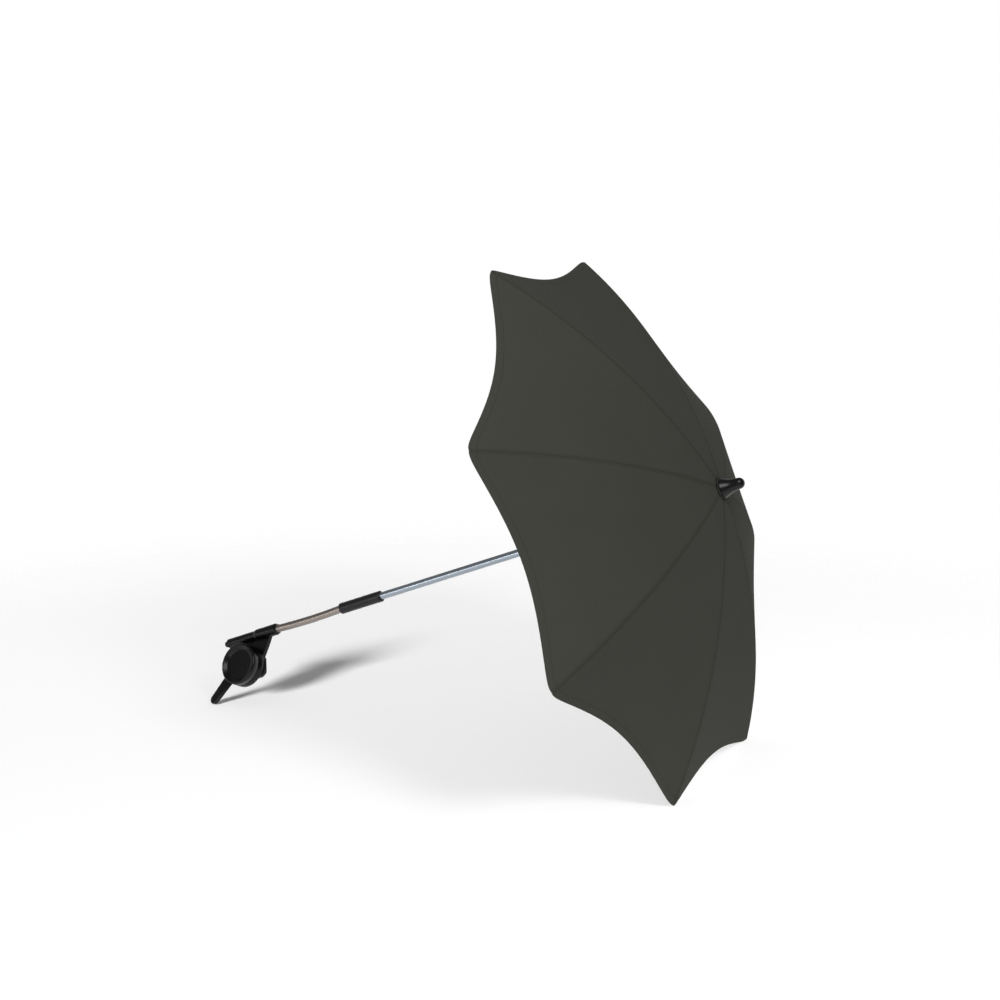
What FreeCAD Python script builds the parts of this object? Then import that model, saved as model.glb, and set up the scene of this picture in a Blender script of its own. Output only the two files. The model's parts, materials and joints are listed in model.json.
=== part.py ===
import FreeCAD, Part
import operator
import os
from math import asin, atan2, cos, degrees, hypot, radians, sin, sqrt
from types import SimpleNamespace

import Sketcher

# A clamp-on parasol for a pram. Eight curved ribs fold on a crown, eight stretchers tie them to a runner
# on the tube, a bendable neck joins the tube to a screw clamp that grips the pram's frame.
# Pieces are drawn in the pole's frame: +Z up the tube, with the canopy's apex at the origin, and +X towards
# the floor when the parasol lies down. At the end they are all laid down together, on two rib tips and
# the clamp's lever, and the frame moves to the middle of the underside.

Vector = FreeCAD.Vector
Rotation = FreeCAD.Rotation
Placement = FreeCAD.Placement

# Lengths in millimetres, angles in degrees.
SIZES = {
    # Canopy frame
    "tip_radius": 348, "canopy_depth": 130, "rib_bend": 27.6,
    "rib_width": 3.2, "rib_height": 2.8, "rib_wall": 0.6,
    "cap_diameter": 8.4, "cap_length": 8.5, "cap_grip": 5, "cap_edge": 2,
    "pivot_radius": 8.5, "crown_pivot_depth": 3, "wire_diameter": 1.2, "eye_play": 0.2,
    "link_length": 150, "stretcher_width": 3.2, "stretcher_height": 2.6,
    "prong_wall": 0.8, "fork_depth": 17, "fork_shoulder": 4,
    "rivet_diameter": 1.6, "rivet_head": 2.4, "rivet_head_height": 0.5, "rivet_play": 0.08,
    "side_play": 0.25, "flange_rim": 2.6, "flange_lip": 2.4, "tongue_margin": 1,
    # Canopy fabric
    "fabric_thickness": 0.6, "fabric_clearance": 0.7, "fabric_eye": 10, "hem_gap": 0.5,
    "hem_scallop": 14, "panel_sag": 1, "panel_gap": 0.04, "top_disc_diameter": 26,
    # Pole
    "tube_diameter": 10, "tube_wall": 0.8, "tube_grip": 34, "fit": 0.05,
    "crown_top": 1.35, "crown_sleeve": 12, "crown_wall": 1.55, "crown_pin_diameter": 2,
    "ferrule_base": 24, "ferrule_neck": 12.8, "ferrule_length": 28, "ferrule_edge": 1.2,
    "ferrule_flare": 15, "ferrule_dome": 5, "spigot_length": 11,
    "runner_play": 0.3, "runner_wall": 1.4, "runner_length": 38, "runner_grip_diameter": 17,
    "runner_grip_height": 6, "catch_gap": 0.4, "catch_reach": 3.2, "catch_width": 2.6,
    "catch_length": 14, "catch_tail": 20, "catch_leaf": 1, "catch_root": 1.5, "catch_edge": 2,
    "catch_slot_play": 0.3,
    # Sleeve and neck
    "sleeve_top": 503, "sleeve_length": 68, "sleeve_diameter": 15, "sleeve_chamfer": 1.2,
    "sleeve_pin_diameter": 2.4, "neck_diameter": 10.5, "neck_bore": 6.5, "neck_length": 109.9,
    "neck_middle": 6, "neck_grip": 28,
    # Clamp socket
    "clamp_roll": 27, "plug_diameter": 11, "plug_play": 0.1, "plug_depth": 34, "plug_reach": 1,
    "collar_diameter": 16, "collar_length": 36, "collar_mouth": 13.4, "collar_bevel": 3,
    "barrel_diameter": 13.5, "barrel_length": 87, "barrel_web": 4, "button_bore": 10, "button_lip": 2,
    "button_diameter": 8.4, "button_reach": 6.5, "button_flange": 3, "button_stem": 5,
    "button_play": 0.2, "button_spring_wall": 1.2, "button_travel": 4,
    # Clamp jaw
    "screw_drop": 40.5, "screw_back": 57.5, "plate_front": -2, "plate_thickness": 6, "plate_radius": 19,
    "web_start": 17, "web_knee_drop": 16, "web_knee_back": 22, "web_turn": 60, "heel_turn": 100,
    "boss_diameter": 28, "boss_front": 12, "boss_wall": 2, "pad_side": 13.4, "pad_play": 0.3,
    "pad_length": 14, "facing_thickness": 1.2, "facing_proud": 1, "screw_diameter": 8, "screw_flange": 12,
    "screw_flange_height": 1.8, "seat_diameter": 24, "liner_thickness": 1.5, "seat_gap": 0.5,
    "jaw_thickness": 4, "jaw_start": 21, "jaw_width": 26, "jaw_lip": 4, "spine_thickness": 11,
    "seat_dip": 8, "jaw_round": 8, "tip_round": 2.5, "corner_round": 12, "liner_inset": 0.5,
    # Clamp knob
    "knob_diameter": 58, "knob_front": 20, "knob_play": 0.5, "knob_wall": 2.5, "knob_edge": 1.5,
    "dish_diameter": 52, "dish_floor_diameter": 42, "dish_depth": 4, "hub_play": 0.3, "hub_grip": 2,
    "lever_length": 68, "lever_width": 12.5, "lever_tip_width": 10, "lever_front": 16.5,
    "lever_thickness": 5.5, "lever_angle": 39.9,
}
RIBS = 8
PANEL = 360 / RIBS

doc = FreeCAD.newDocument("pram_parasol")
sheet = doc.addObject("Spreadsheet::Sheet", "sheet")
for row, (alias, number) in enumerate(SIZES.items(), 1):
    sheet.set(f"A{row}", alias)
    sheet.set(f"B{row}", str(number))
    sheet.setAlias(f"B{row}", alias)
doc.recompute()
derived = doc.addObject("App::VarSet", "derived")


class Size:
    """A length or angle: its value now, and the expression that gives it from the sheet."""

    def __init__(self, value, text):
        self.value = float(value)
        self.text = text

    def __add__(self, other):
        return joined(self, operator.add, "+", other)

    def __sub__(self, other):
        return joined(self, operator.sub, "-", other)

    def __mul__(self, other):
        return joined(self, operator.mul, "*", other)

    def __truediv__(self, other):
        return joined(self, operator.truediv, "/", other)

    def __radd__(self, other):
        return joined(other, operator.add, "+", self)

    def __rsub__(self, other):
        return joined(other, operator.sub, "-", self)

    def __rmul__(self, other):
        return joined(other, operator.mul, "*", self)

    def __neg__(self):
        return Size(-self.value, f"-({self.text})")


def as_size(item):
    return item if isinstance(item, Size) else Size(item, repr(item))


def joined(left, work, sign, right):
    a, b = as_size(left), as_size(right)
    return Size(work(a.value, b.value), f"({a.text} {sign} {b.text})")


def sine(angle):
    return Size(sin(radians(angle.value)), f"sin({angle.text})")


def cosine(angle):
    return Size(cos(radians(angle.value)), f"cos({angle.text})")


def diagonal(a, b):
    return Size(hypot(a.value, b.value), f"sqrt(({a.text}) ^ 2 + ({b.text}) ^ 2)")


def derive(name, size):
    """Name a worked-out size, so that others can be written from it."""
    derived.addProperty("App::PropertyFloat", name)
    derived.setExpression(name, size.text)
    return Size(size.value, f"derived.{name}")


d = SimpleNamespace(**{alias: Size(getattr(sheet, alias), f"sheet.{alias}") for alias in SIZES})
NIL = Size(0, "0")

# The rib is an arc from its crown pivot to its tip, and each link of the fold is as long as the other,
# so the runner's pivot stays under the crown's and every angle keeps a fixed ratio to the fold.
chord_run = derive("chord_run", d.tip_radius - d.pivot_radius)
chord_fall = derive("chord_fall", d.canopy_depth - d.crown_pivot_depth)
rib_chord = derive("rib_chord", diagonal(chord_run, chord_fall))
chord_drop = derive("chord_drop", Size(degrees(atan2(chord_fall.value, chord_run.value)),
                                       f"atan2({chord_fall.text}; {chord_run.text}) / 1 deg"))
rib_arc = derive("rib_arc", rib_chord / (2 * sine(d.rib_bend / 2)))
start_drop = derive("start_drop", chord_drop - d.rib_bend / 2)
link_half = derive("link_half", Size(degrees(asin(d.link_length.value / 2 / rib_arc.value)),
                                     f"asin({d.link_length.text} / 2 / {rib_arc.text}) / 1 deg"))
link_drop = derive("link_drop", start_drop + link_half)
crown_pivot = derive("crown_pivot", -d.crown_pivot_depth)
runner_pivot = derive("runner_pivot", crown_pivot - 2 * d.link_length * sine(link_drop))

# Shared fits
tube_radius = derive("tube_radius", d.tube_diameter / 2)
wire_radius = derive("wire_radius", d.wire_diameter / 2)
eye_radius = derive("eye_radius", wire_radius + d.eye_play)
tongue_width = derive("tongue_width", d.rib_width - 2 * d.rib_wall)
slot_width = derive("slot_width", tongue_width + 2 * d.side_play)
flange_radius = derive("flange_radius", d.pivot_radius + d.flange_rim)
slot_root = derive("slot_root", d.pivot_radius - d.rib_height / 2 - d.runner_play)
tongue_length = derive("tongue_length", diagonal(d.flange_rim, d.flange_lip) + d.tongue_margin)
fork_gap = derive("fork_gap", d.rib_width + 2 * d.side_play)
fork_width = derive("fork_width", fork_gap + 2 * d.prong_wall)
runner_foot = derive("runner_foot", runner_pivot - d.runner_length)
catch_top = derive("catch_top", runner_foot - d.catch_gap)
sleeve_foot = derive("sleeve_foot", -d.sleeve_top - d.sleeve_length)
socket_mouth = derive("socket_mouth", sleeve_foot - d.neck_length)
neck_radius = derive("neck_radius", d.neck_diameter / 2)
neck_half = derive("neck_half", (d.neck_length - d.neck_middle - d.plug_reach) / 2)


def bind(thing, **sizes):
    for name, size in sizes.items():
        thing.setExpression(name, as_size(size).text)


def new_body(label):
    body = doc.addObject("PartDesign::Body", label)
    body.Label = label
    return body


def origin_feature(body, role):
    return next(f for f in body.Origin.OriginFeatures if f.Role == role)


def pin_point(sketch, geo, end, x, y):
    """Fix one point of a sketch at (x, y), measured from the sketch's origin."""
    for size, kind, axis in ((x, "DistanceX", -2), (y, "DistanceY", -1)):
        if size is NIL:
            sketch.addConstraint(Sketcher.Constraint("PointOnObject", geo, end, axis))
        else:
            index = sketch.addConstraint(Sketcher.Constraint(kind, -1, 1, geo, end, size.value))
            sketch.setExpression(f"Constraints[{index}]", size.text)


def draw_outline(sketch, corners):
    """Draw a closed outline. A corner is (x, y) or (x, y, radius), where the radius makes an arc of the
    side that follows: it bulges to the right of the way on if positive, and to the left if negative."""
    sides = []
    for i, corner in enumerate(corners):
        p = Vector(corner[0].value, corner[1].value, 0)
        following = corners[(i + 1) % len(corners)]
        q = Vector(following[0].value, following[1].value, 0)
        if len(corner) == 2:
            sides.append((sketch.addGeometry(Part.LineSegment(p, q)), 1, 2))
            continue
        radius = abs(corner[2].value)
        onward = q - p
        bulges_right = corner[2].value > 0
        inward = Vector(-onward.y, onward.x, 0) * (1 if bulges_right else -1)
        inward.normalize()
        centre = (p + q) * 0.5 + inward * sqrt(max(radius ** 2 - onward.Length ** 2 / 4, 0))
        first, last = (p, q) if bulges_right else (q, p)
        start = atan2(first.y - centre.y, first.x - centre.x)
        stop = atan2(last.y - centre.y, last.x - centre.x)
        arc = Part.ArcOfCircle(Part.Circle(centre, Vector(0, 0, 1), radius), start, stop)
        geo = sketch.addGeometry(arc)
        sides.append((geo, 1, 2) if bulges_right else (geo, 2, 1))
        index = sketch.addConstraint(Sketcher.Constraint("Radius", geo, radius))
        sketch.setExpression(f"Constraints[{index}]", f"abs({corner[2].text})")
    for i, (geo, start, stop) in enumerate(sides):
        following = sides[(i + 1) % len(sides)]
        sketch.addConstraint(Sketcher.Constraint("Coincident", geo, stop, following[0], following[1]))
        pin_point(sketch, geo, start, *corners[i][:2])


def draw_circle(sketch, x, y, radius):
    centre = Vector(x.value, y.value, 0)
    geo = sketch.addGeometry(Part.Circle(centre, Vector(0, 0, 1), radius.value))
    pin_point(sketch, geo, 3, x, y)
    index = sketch.addConstraint(Sketcher.Constraint("Radius", geo, radius.value))
    sketch.setExpression(f"Constraints[{index}]", radius.text)


def new_sketch(body, plane, outlines=(), circles=(), offset=None):
    sketch = body.newObject("Sketcher::SketchObject", "sketch")
    sketch.AttachmentSupport = [(origin_feature(body, plane), "")]
    sketch.MapMode = "FlatFace"
    if offset is not None:
        bind(sketch, **{"AttachmentOffset.Base.z": offset})
    for outline in outlines:
        draw_outline(sketch, outline)
    for circle in circles:
        draw_circle(sketch, *circle)
    return sketch


def rectangle(x0, y0, x1, y1):
    return [(x0, y0), (x1, y0), (x1, y1), (x0, y1)]


def slab(body, sketch, length, symmetric=False):
    """Add the sketch's outline, from its plane along its normal or evenly to both sides."""
    pad = body.newObject("PartDesign::Pad", "pad")
    pad.Profile = sketch
    pad.SideType = "Symmetric" if symmetric else "One side"
    bind(pad, Length=length)
    return pad


def cut(body, sketch, length, symmetric=False):
    """Cut the sketch's outline, from its plane along its normal or evenly to both sides."""
    pocket = body.newObject("PartDesign::Pocket", "pocket")
    pocket.Profile = sketch
    pocket.SideType = "Symmetric" if symmetric else "One side"
    pocket.Reversed = not symmetric
    bind(pocket, Length=length)
    return pocket


def turn(body, sketch, angle=360):
    revolution = body.newObject("PartDesign::Revolution", "turn")
    revolution.Profile = sketch
    revolution.ReferenceAxis = (sketch, ["V_Axis"])
    bind(revolution, Angle=angle)
    return revolution


def turned(label, *outlines):
    """A body turned about the pole's axis from outlines of (radius, height)."""
    body = new_body(label)
    for outline in outlines:
        turn(body, new_sketch(body, "XZ_Plane", [outline]))
    return body


def repeat_round(body, feature, count):
    pattern = body.newObject("PartDesign::PolarPattern", "pattern")
    pattern.Originals = [feature]
    pattern.Axis = (origin_feature(body, "Z_Axis"), [""])
    pattern.Angle = 360
    pattern.Occurrences = count
    body.Tip = pattern


def tube(inner, outer, low, high):
    return rectangle(inner, low, outer, high)


nodes = []


def place(thing, label=None, placement=Placement()):
    """Take an object as a finished node, at its place in the pole's frame."""
    thing.Label = label or thing.Label
    nodes.append((thing, placement))
    return thing


def copy_of(label, pieces, placement):
    """A node of its own, at its own place, made from one or more shared pieces."""
    copy = doc.addObject("Part::Compound", label)
    copy.Links = pieces
    return place(copy, label, placement)


def about_axis(angle):
    return Placement(Vector(), Rotation(Vector(0, 0, 1), angle))


def rib_form():
    """A folded channel on an arc, open underneath, with a flat eye for the crown's wire.
    The arc's centre is at the origin and the rib runs from +X towards -Z."""
    body = new_body("rib_form")
    low = derive("rib_low", rib_arc - d.rib_height / 2)
    high = derive("rib_high", rib_arc + d.rib_height / 2)
    web = derive("rib_web", high - d.rib_wall)
    half, inner = d.rib_width / 2, tongue_width / 2
    slab(body, new_sketch(body, "XZ_Plane", circles=[(rib_arc, NIL, d.rib_height / 2)]), tongue_width, True)
    channel_start = derive("channel_start", tongue_length / rib_arc * degrees(1))
    tongue = new_sketch(body, "XY_Plane", [rectangle(low, -inner, high, inner)])
    turn(body, tongue, 2 * channel_start)
    channel = new_sketch(body, "XY_Plane", [[
        (low, -half), (high, -half), (high, half), (low, half),
        (low, inner), (web, inner), (web, -inner), (low, -inner)]])
    channel.AttachmentOffset = Placement(Vector(), Rotation(Vector(0, 1, 0), channel_start.value))
    bind(channel, **{"AttachmentOffset.Rotation.Angle": channel_start})
    turn(body, channel, d.rib_bend - channel_start)
    turned_link = derive("link_turn", 2 * link_half)
    rivet_hole = (rib_arc * cosine(turned_link), -(rib_arc * sine(turned_link)),
                  d.rivet_diameter / 2 + d.rivet_play)
    holes = new_sketch(body, "XZ_Plane", circles=[(rib_arc, NIL, eye_radius), rivet_hole])
    cut(body, holes, 2 * d.rib_width, True)
    return body


def stretcher_form():
    """A flat bar from the runner's wire (origin) along +X to the rivet, where a fork straddles the rib."""
    body = new_body("stretcher_form")
    end, span = d.stretcher_height / 2, d.link_length
    side = [(NIL, -end), (span, -end, end), (span + end, NIL, end), (span, end), (NIL, end, end),
            (-end, NIL, end)]
    slab(body, new_sketch(body, "XZ_Plane", [side]), fork_width, True)
    bar, tongue, clear = d.stretcher_width / 2, tongue_width / 2, fork_width
    root = derive("fork_root", span - d.fork_depth)
    shoulder = root - d.fork_shoulder
    cheeks = [[(-clear, s * tongue), (tongue_length, s * tongue), (tongue_length, s * bar),
               (shoulder, s * bar), (root, s * fork_width / 2), (root, s * clear), (-clear, s * clear)]
              for s in (1, -1)]
    slot = rectangle(root, -fork_gap / 2, span + clear, fork_gap / 2)
    cut(body, new_sketch(body, "XY_Plane", cheeks + [slot]), 2 * d.stretcher_height, True)
    holes = [(NIL, NIL, eye_radius), (span, NIL, d.rivet_diameter / 2)]
    cut(body, new_sketch(body, "XZ_Plane", circles=holes), 2 * fork_width, True)
    return body


def rivet_form():
    """The headed pin through a fork and its rib, in the stretcher's frame."""
    body = new_body("rivet_form")
    sketch = new_sketch(body, "XZ_Plane", circles=[(d.link_length, NIL, d.rivet_diameter / 2)])
    slab(body, sketch, fork_width + d.rivet_head_height, True)
    for face in (fork_width / 2, -(fork_width / 2) - d.rivet_head_height):
        head = new_sketch(body, "XZ_Plane", circles=[(d.link_length, NIL, d.rivet_head / 2)], offset=face)
        slab(body, head, d.rivet_head_height)
    return body


def tip_cap_form():
    """A thimble over the rib's end, open at the origin and blunt towards +Z."""
    radius = d.cap_diameter / 2
    bore = derive("cap_bore", diagonal(d.rib_width / 2, d.rib_height / 2) + d.fit)
    edge = d.cap_edge
    return turned("tip_cap_form", [
        (bore, NIL), (radius, NIL), (radius, d.cap_length - edge), (radius - edge, d.cap_length),
        (NIL, d.cap_length), (NIL, d.cap_grip), (bore, d.cap_grip)])


def gore_shape():
    """The fabric from the middle of one panel to the middle of the next, with a rib under its ridge.
    Between the ribs the cloth is pulled straight, sags a little, and its hem is scalloped."""
    rise = d.rib_height.value / 2 + d.fabric_clearance.value
    under = rib_arc.value + rise
    drop = radians(start_drop.value)
    centre_r = d.pivot_radius.value - rib_arc.value * sin(drop)
    centre_z = crown_pivot.value - rib_arc.value * cos(drop)
    stop = drop + radians(d.rib_bend.value) - (d.cap_grip.value + d.hem_gap.value) / rib_arc.value
    eye = asin((d.fabric_eye.value - centre_r) / under)
    eye_r, eye_z = centre_r + under * sin(eye), centre_z + under * cos(eye)
    hem_r, hem_z = centre_r + under * sin(stop), centre_z + under * cos(stop)
    ridge_chord = hypot(hem_r - eye_r, hem_z - eye_z)
    ridge_rise = under - sqrt(under ** 2 - ridge_chord ** 2 / 4)
    middle = PANEL / 2

    def section(angle):
        """The cloth's closed outline in the half plane at this angle from the rib."""
        away = abs(angle) / middle
        share = 1 - (1 - away) ** 2
        pull = cos(radians(middle)) / cos(radians(middle - abs(angle)))
        start = Vector(eye_r * pull, 0, eye_z)
        run = Vector(hem_r * pull, 0, hem_z) - start
        chord = run.Length - share * d.hem_scallop.value
        along = run.normalize()
        up = Vector(-along.z, 0, along.x)
        bulge = ridge_rise - share * d.panel_sag.value
        radius = chord ** 2 / 8 / bulge + bulge / 2
        end = start + along * chord
        crest = (start + end) * 0.5 + up * bulge
        centre = crest - up * radius
        grown = (radius + d.fabric_thickness.value) / radius
        over = [centre + (point - centre) * grown for point in (start, crest, end)]
        wire = Part.Wire([
            Part.Arc(start, crest, end).toShape(), Part.makeLine(end, over[2]),
            Part.Arc(over[2], over[1], over[0]).toShape(), Part.makeLine(over[0], start)])
        return wire.rotated(Vector(), Vector(0, 0, 1), angle)

    edge = middle - d.panel_gap.value
    return Part.makeLoft([section(angle) for angle in (-edge, -middle / 2, 0, middle / 2, edge)], True, True)


def canopy_frame():
    """The eight ribs with their caps, stretchers and cloth."""
    rib, cap, stretcher, rivet = rib_form(), tip_cap_form(), stretcher_form(), rivet_form()
    cloth = gore_shape()
    drop = radians(start_drop.value)
    crown_end = Vector(d.pivot_radius.value, 0, crown_pivot.value)
    arc_centre = crown_end - Vector(sin(drop), 0, cos(drop)) * rib_arc.value
    rib_place = Placement(arc_centre, Rotation(Vector(0, 1, 0), start_drop.value - 90))
    tip_drop = start_drop.value + d.rib_bend.value
    outward = Vector(cos(radians(tip_drop)), 0, -sin(radians(tip_drop)))
    rib_end = Vector(d.tip_radius.value, 0, -d.canopy_depth.value)
    cap_place = Placement(rib_end - outward * d.cap_grip.value, Rotation(Vector(0, 1, 0), 90 + tip_drop))
    link_place = Placement(Vector(d.pivot_radius.value, 0, runner_pivot.value),
                           Rotation(Vector(0, 1, 0), -link_drop.value))
    for i in range(RIBS):
        spot = about_axis(PANEL * (i + 0.5))
        copy_of(f"rib_{i + 1}", [rib], spot * rib_place)
        copy_of(f"tip_cap_{i + 1}", [cap], spot * cap_place)
        copy_of(f"stretcher_{i + 1}", [stretcher, rivet], spot * link_place)
        gore = doc.addObject("Part::Feature", f"canopy_gore_{i + 1}")
        gore.Shape = cloth
        place(gore, None, spot)


def slotted_hub(label, outline, pivot):
    """A turned hub with a groove for its tie wire and a slot for each rib or stretcher."""
    body = turned(label, outline)
    notch = new_sketch(body, "XY_Plane", [rectangle(
        slot_root, -slot_width / 2, flange_radius + d.flange_rim, slot_width / 2)])
    notch.AttachmentOffset = about_axis(PANEL / 2)
    bind(notch, **{"AttachmentOffset.Base.z": pivot})
    slots = cut(body, notch, 4 * d.flange_lip, True)
    repeat_round(body, slots, RIBS)
    return body


def groove_corners(pivot):
    """The tie wire's groove, from the flange's rim inwards and out again, on the way up."""
    half = wire_radius + d.fit
    root = d.pivot_radius - half
    return [(flange_radius, pivot - half), (root, pivot - half), (root, pivot + half),
            (flange_radius, pivot + half)]


def tie_wire(label, pivot):
    ring = doc.addObject("Part::Torus", label)
    bind(ring, Radius1=d.pivot_radius, Radius2=wire_radius)
    place(ring, None, Placement(Vector(0, 0, pivot.value), Rotation()))


def cross_pin(label, diameter, length, heights):
    """Straight pins across the pole, one at each height."""
    pins = []
    for height in heights:
        pin = doc.addObject("Part::Cylinder", f"{label}_form")
        bind(pin, Radius=diameter / 2, Height=length)
        pin.Placement = Placement(Vector(0, -length.value / 2, height.value), Rotation(Vector(1, 0, 0), -90))
        bind(pin, **{"Placement.Base.y": -length / 2, "Placement.Base.z": height})
        pins.append(pin)
    copy_of(label, pins, Placement())


def pin_holes(body, diameter, heights):
    circles = [(NIL, height, diameter / 2 + d.fit) for height in heights]
    cut(body, new_sketch(body, "XZ_Plane", circles=circles), 4 * d.tube_diameter, True)


crown_foot = derive("crown_foot", crown_pivot - d.flange_lip - d.crown_sleeve)
crown_pin_height = derive("crown_pin_height", crown_foot + d.crown_sleeve / 4)
sleeve_head = derive("sleeve_head", -d.sleeve_top)
tube_foot = derive("tube_foot", sleeve_head - d.tube_grip)
tube_pin_height = derive("tube_pin_height", sleeve_head - d.tube_grip / 2)
neck_top = derive("neck_top", sleeve_foot + d.neck_grip)
neck_pin_height = derive("neck_pin_height", sleeve_foot + d.neck_grip / 2)
crown_ceiling = derive("crown_ceiling", crown_pivot + d.crown_top)


def pole():
    """The tube with its crown, ferrule and runner, and the catch that holds the runner up."""
    stem = turned("pole_tube", tube(tube_radius - d.tube_wall, tube_radius, tube_foot, crown_ceiling))
    slot_half = d.catch_width / 2 + d.catch_slot_play
    slot = rectangle(-slot_half, catch_top - d.catch_length - d.catch_slot_play,
                     slot_half, catch_top + d.catch_slot_play)
    cut(stem, new_sketch(stem, "YZ_Plane", [slot]), d.tube_diameter)
    pin_holes(stem, d.crown_pin_diameter, [crown_pin_height])
    pin_holes(stem, d.sleeve_pin_diameter, [tube_pin_height])
    place(stem)

    bore = tube_radius + d.fit
    sleeve = bore + d.crown_wall
    crown = slotted_hub("crown", [
        (bore, crown_foot), (sleeve, crown_foot), (sleeve, crown_pivot - d.flange_lip),
        (flange_radius, crown_pivot - d.flange_lip), *groove_corners(crown_pivot),
        (flange_radius, crown_ceiling), (bore, crown_ceiling)], crown_pivot)
    pin_holes(crown, d.crown_pin_diameter, [crown_pin_height])
    place(crown)
    tie_wire("crown_wire", crown_pivot)
    cross_pin("crown_pin", d.crown_pin_diameter, 2 * sleeve, [crown_pin_height])

    disc_top = d.fabric_thickness
    spigot = tube_radius - d.tube_wall - d.fit
    place(turned("canopy_top", tube(spigot + d.fit, d.top_disc_diameter / 2, NIL, disc_top)))
    base, neck = d.ferrule_base / 2, d.ferrule_neck / 2
    flare_top = disc_top + d.ferrule_edge + d.ferrule_flare
    tip = disc_top + d.ferrule_length
    dome_curve = derive("dome_curve", (neck * neck + d.ferrule_dome * d.ferrule_dome) / (2 * d.ferrule_dome))
    place(turned("ferrule", [
        (NIL, disc_top - d.spigot_length), (spigot, disc_top - d.spigot_length), (spigot, disc_top),
        (base, disc_top), (base, disc_top + d.ferrule_edge, -2 * d.ferrule_flare),
        (neck, flare_top), (neck, tip - d.ferrule_dome, dome_curve), (NIL, tip)]))


def runner():
    bore = tube_radius + d.runner_play
    sleeve = bore + d.runner_wall
    grip = d.runner_grip_diameter / 2
    grip_top = runner_foot + d.runner_grip_height
    body = slotted_hub("runner", [
        (bore, runner_foot), (grip, runner_foot), (grip, grip_top), (sleeve, grip_top + d.runner_grip_height),
        (sleeve, runner_pivot - d.flange_lip), (flange_radius, runner_pivot - d.flange_lip),
        *groove_corners(runner_pivot), (flange_radius, runner_pivot + d.flange_lip),
        (bore, runner_pivot + d.flange_lip)], runner_pivot)
    place(body)
    tie_wire("runner_wire", runner_pivot)


def catch():
    """A sprung leaf in the tube, whose nose stands out under the runner and slopes back in below."""
    body = new_body("catch_spring")
    nose = tube_radius + d.catch_reach
    nose_foot = catch_top - d.catch_length
    tail_foot = nose_foot - d.catch_tail
    leaf = d.catch_root + d.catch_leaf
    slab(body, new_sketch(body, "XZ_Plane", [[
        (d.catch_root, catch_top), (nose, catch_top), (nose, catch_top - d.catch_edge),
        (tube_radius - d.tube_wall - d.fit, nose_foot), (leaf, nose_foot - d.catch_edge),
        (leaf, tail_foot), (d.catch_root, tail_foot)]]), d.catch_width, True)
    place(body)


def neck():
    """The sleeve under the tube, and the bendable neck in two halves with a link between them."""
    outer, chamfer = d.sleeve_diameter / 2, d.sleeve_chamfer
    tube_bore, neck_bore = tube_radius + d.fit, neck_radius + d.fit
    sleeve = turned("connector_sleeve", [
        (neck_bore, sleeve_foot), (outer - chamfer, sleeve_foot), (outer, sleeve_foot + chamfer),
        (outer, sleeve_head - chamfer), (outer - chamfer, sleeve_head), (tube_bore, sleeve_head),
        (tube_bore, tube_foot), (NIL, tube_foot), (NIL, neck_top), (neck_bore, neck_top)])
    pin_holes(sleeve, d.sleeve_pin_diameter, [tube_pin_height, neck_pin_height])
    place(sleeve)
    cross_pin("sleeve_pins", d.sleeve_pin_diameter, d.sleeve_diameter, [tube_pin_height, neck_pin_height])
    fitting = turned("neck_fitting", [
        (NIL, sleeve_foot), (neck_radius, sleeve_foot), (neck_radius, neck_top), (NIL, neck_top)])
    pin_holes(fitting, d.sleeve_pin_diameter, [neck_pin_height])
    place(fitting)
    bore = d.neck_bore / 2
    foot = socket_mouth + d.plug_reach
    place(turned("neck_lower", tube(bore, neck_radius, foot, foot + neck_half)))
    place(turned("neck_middle", tube(bore, neck_radius, foot + neck_half, sleeve_foot - neck_half)))
    place(turned("neck_upper", tube(bore, neck_radius, sleeve_foot - neck_half, sleeve_foot)))


# The clamp has a frame of its own: +Z up the arm from the socket's mouth, +X down across the knob's face
# and -Y out of that face. It is rolled about the arm, so that the lever's end lies on the floor.
clamp_frame = Placement(Vector(0, 0, socket_mouth.value), Rotation(Vector(0, 0, 1), -d.clamp_roll.value))
screw_height = derive("screw_height", -d.screw_back)
plate_back = derive("plate_back", d.plate_front - d.plate_thickness)
seat_radius = derive("seat_radius", d.seat_diameter / 2)
shell_radius = derive("shell_radius", seat_radius + d.liner_thickness)
facing_face = derive("facing_face", plate_back - d.facing_proud)
seat_depth = derive("seat_depth", seat_radius + d.seat_gap - facing_face)
jaw_inner = derive("jaw_inner", seat_depth + shell_radius)
jaw_tip = derive("jaw_tip", screw_height + d.jaw_lip)
seat_foot = derive("seat_foot", screw_height - d.seat_dip)
barrel_foot = derive("barrel_foot", -d.barrel_length)
plug_foot = derive("plug_foot", -d.plug_depth)
button_ceiling = derive("button_ceiling", plug_foot - d.barrel_web)
lip_top = derive("lip_top", barrel_foot + d.button_lip)


def place_on_clamp(thing):
    return place(thing, None, clamp_frame)


def chord_at(radius, dip):
    """Half the width of a circle at this distance below its centre."""
    return Size(sqrt(radius.value ** 2 - dip.value ** 2), f"sqrt(({radius.text}) ^ 2 - ({dip.text}) ^ 2)")


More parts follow.
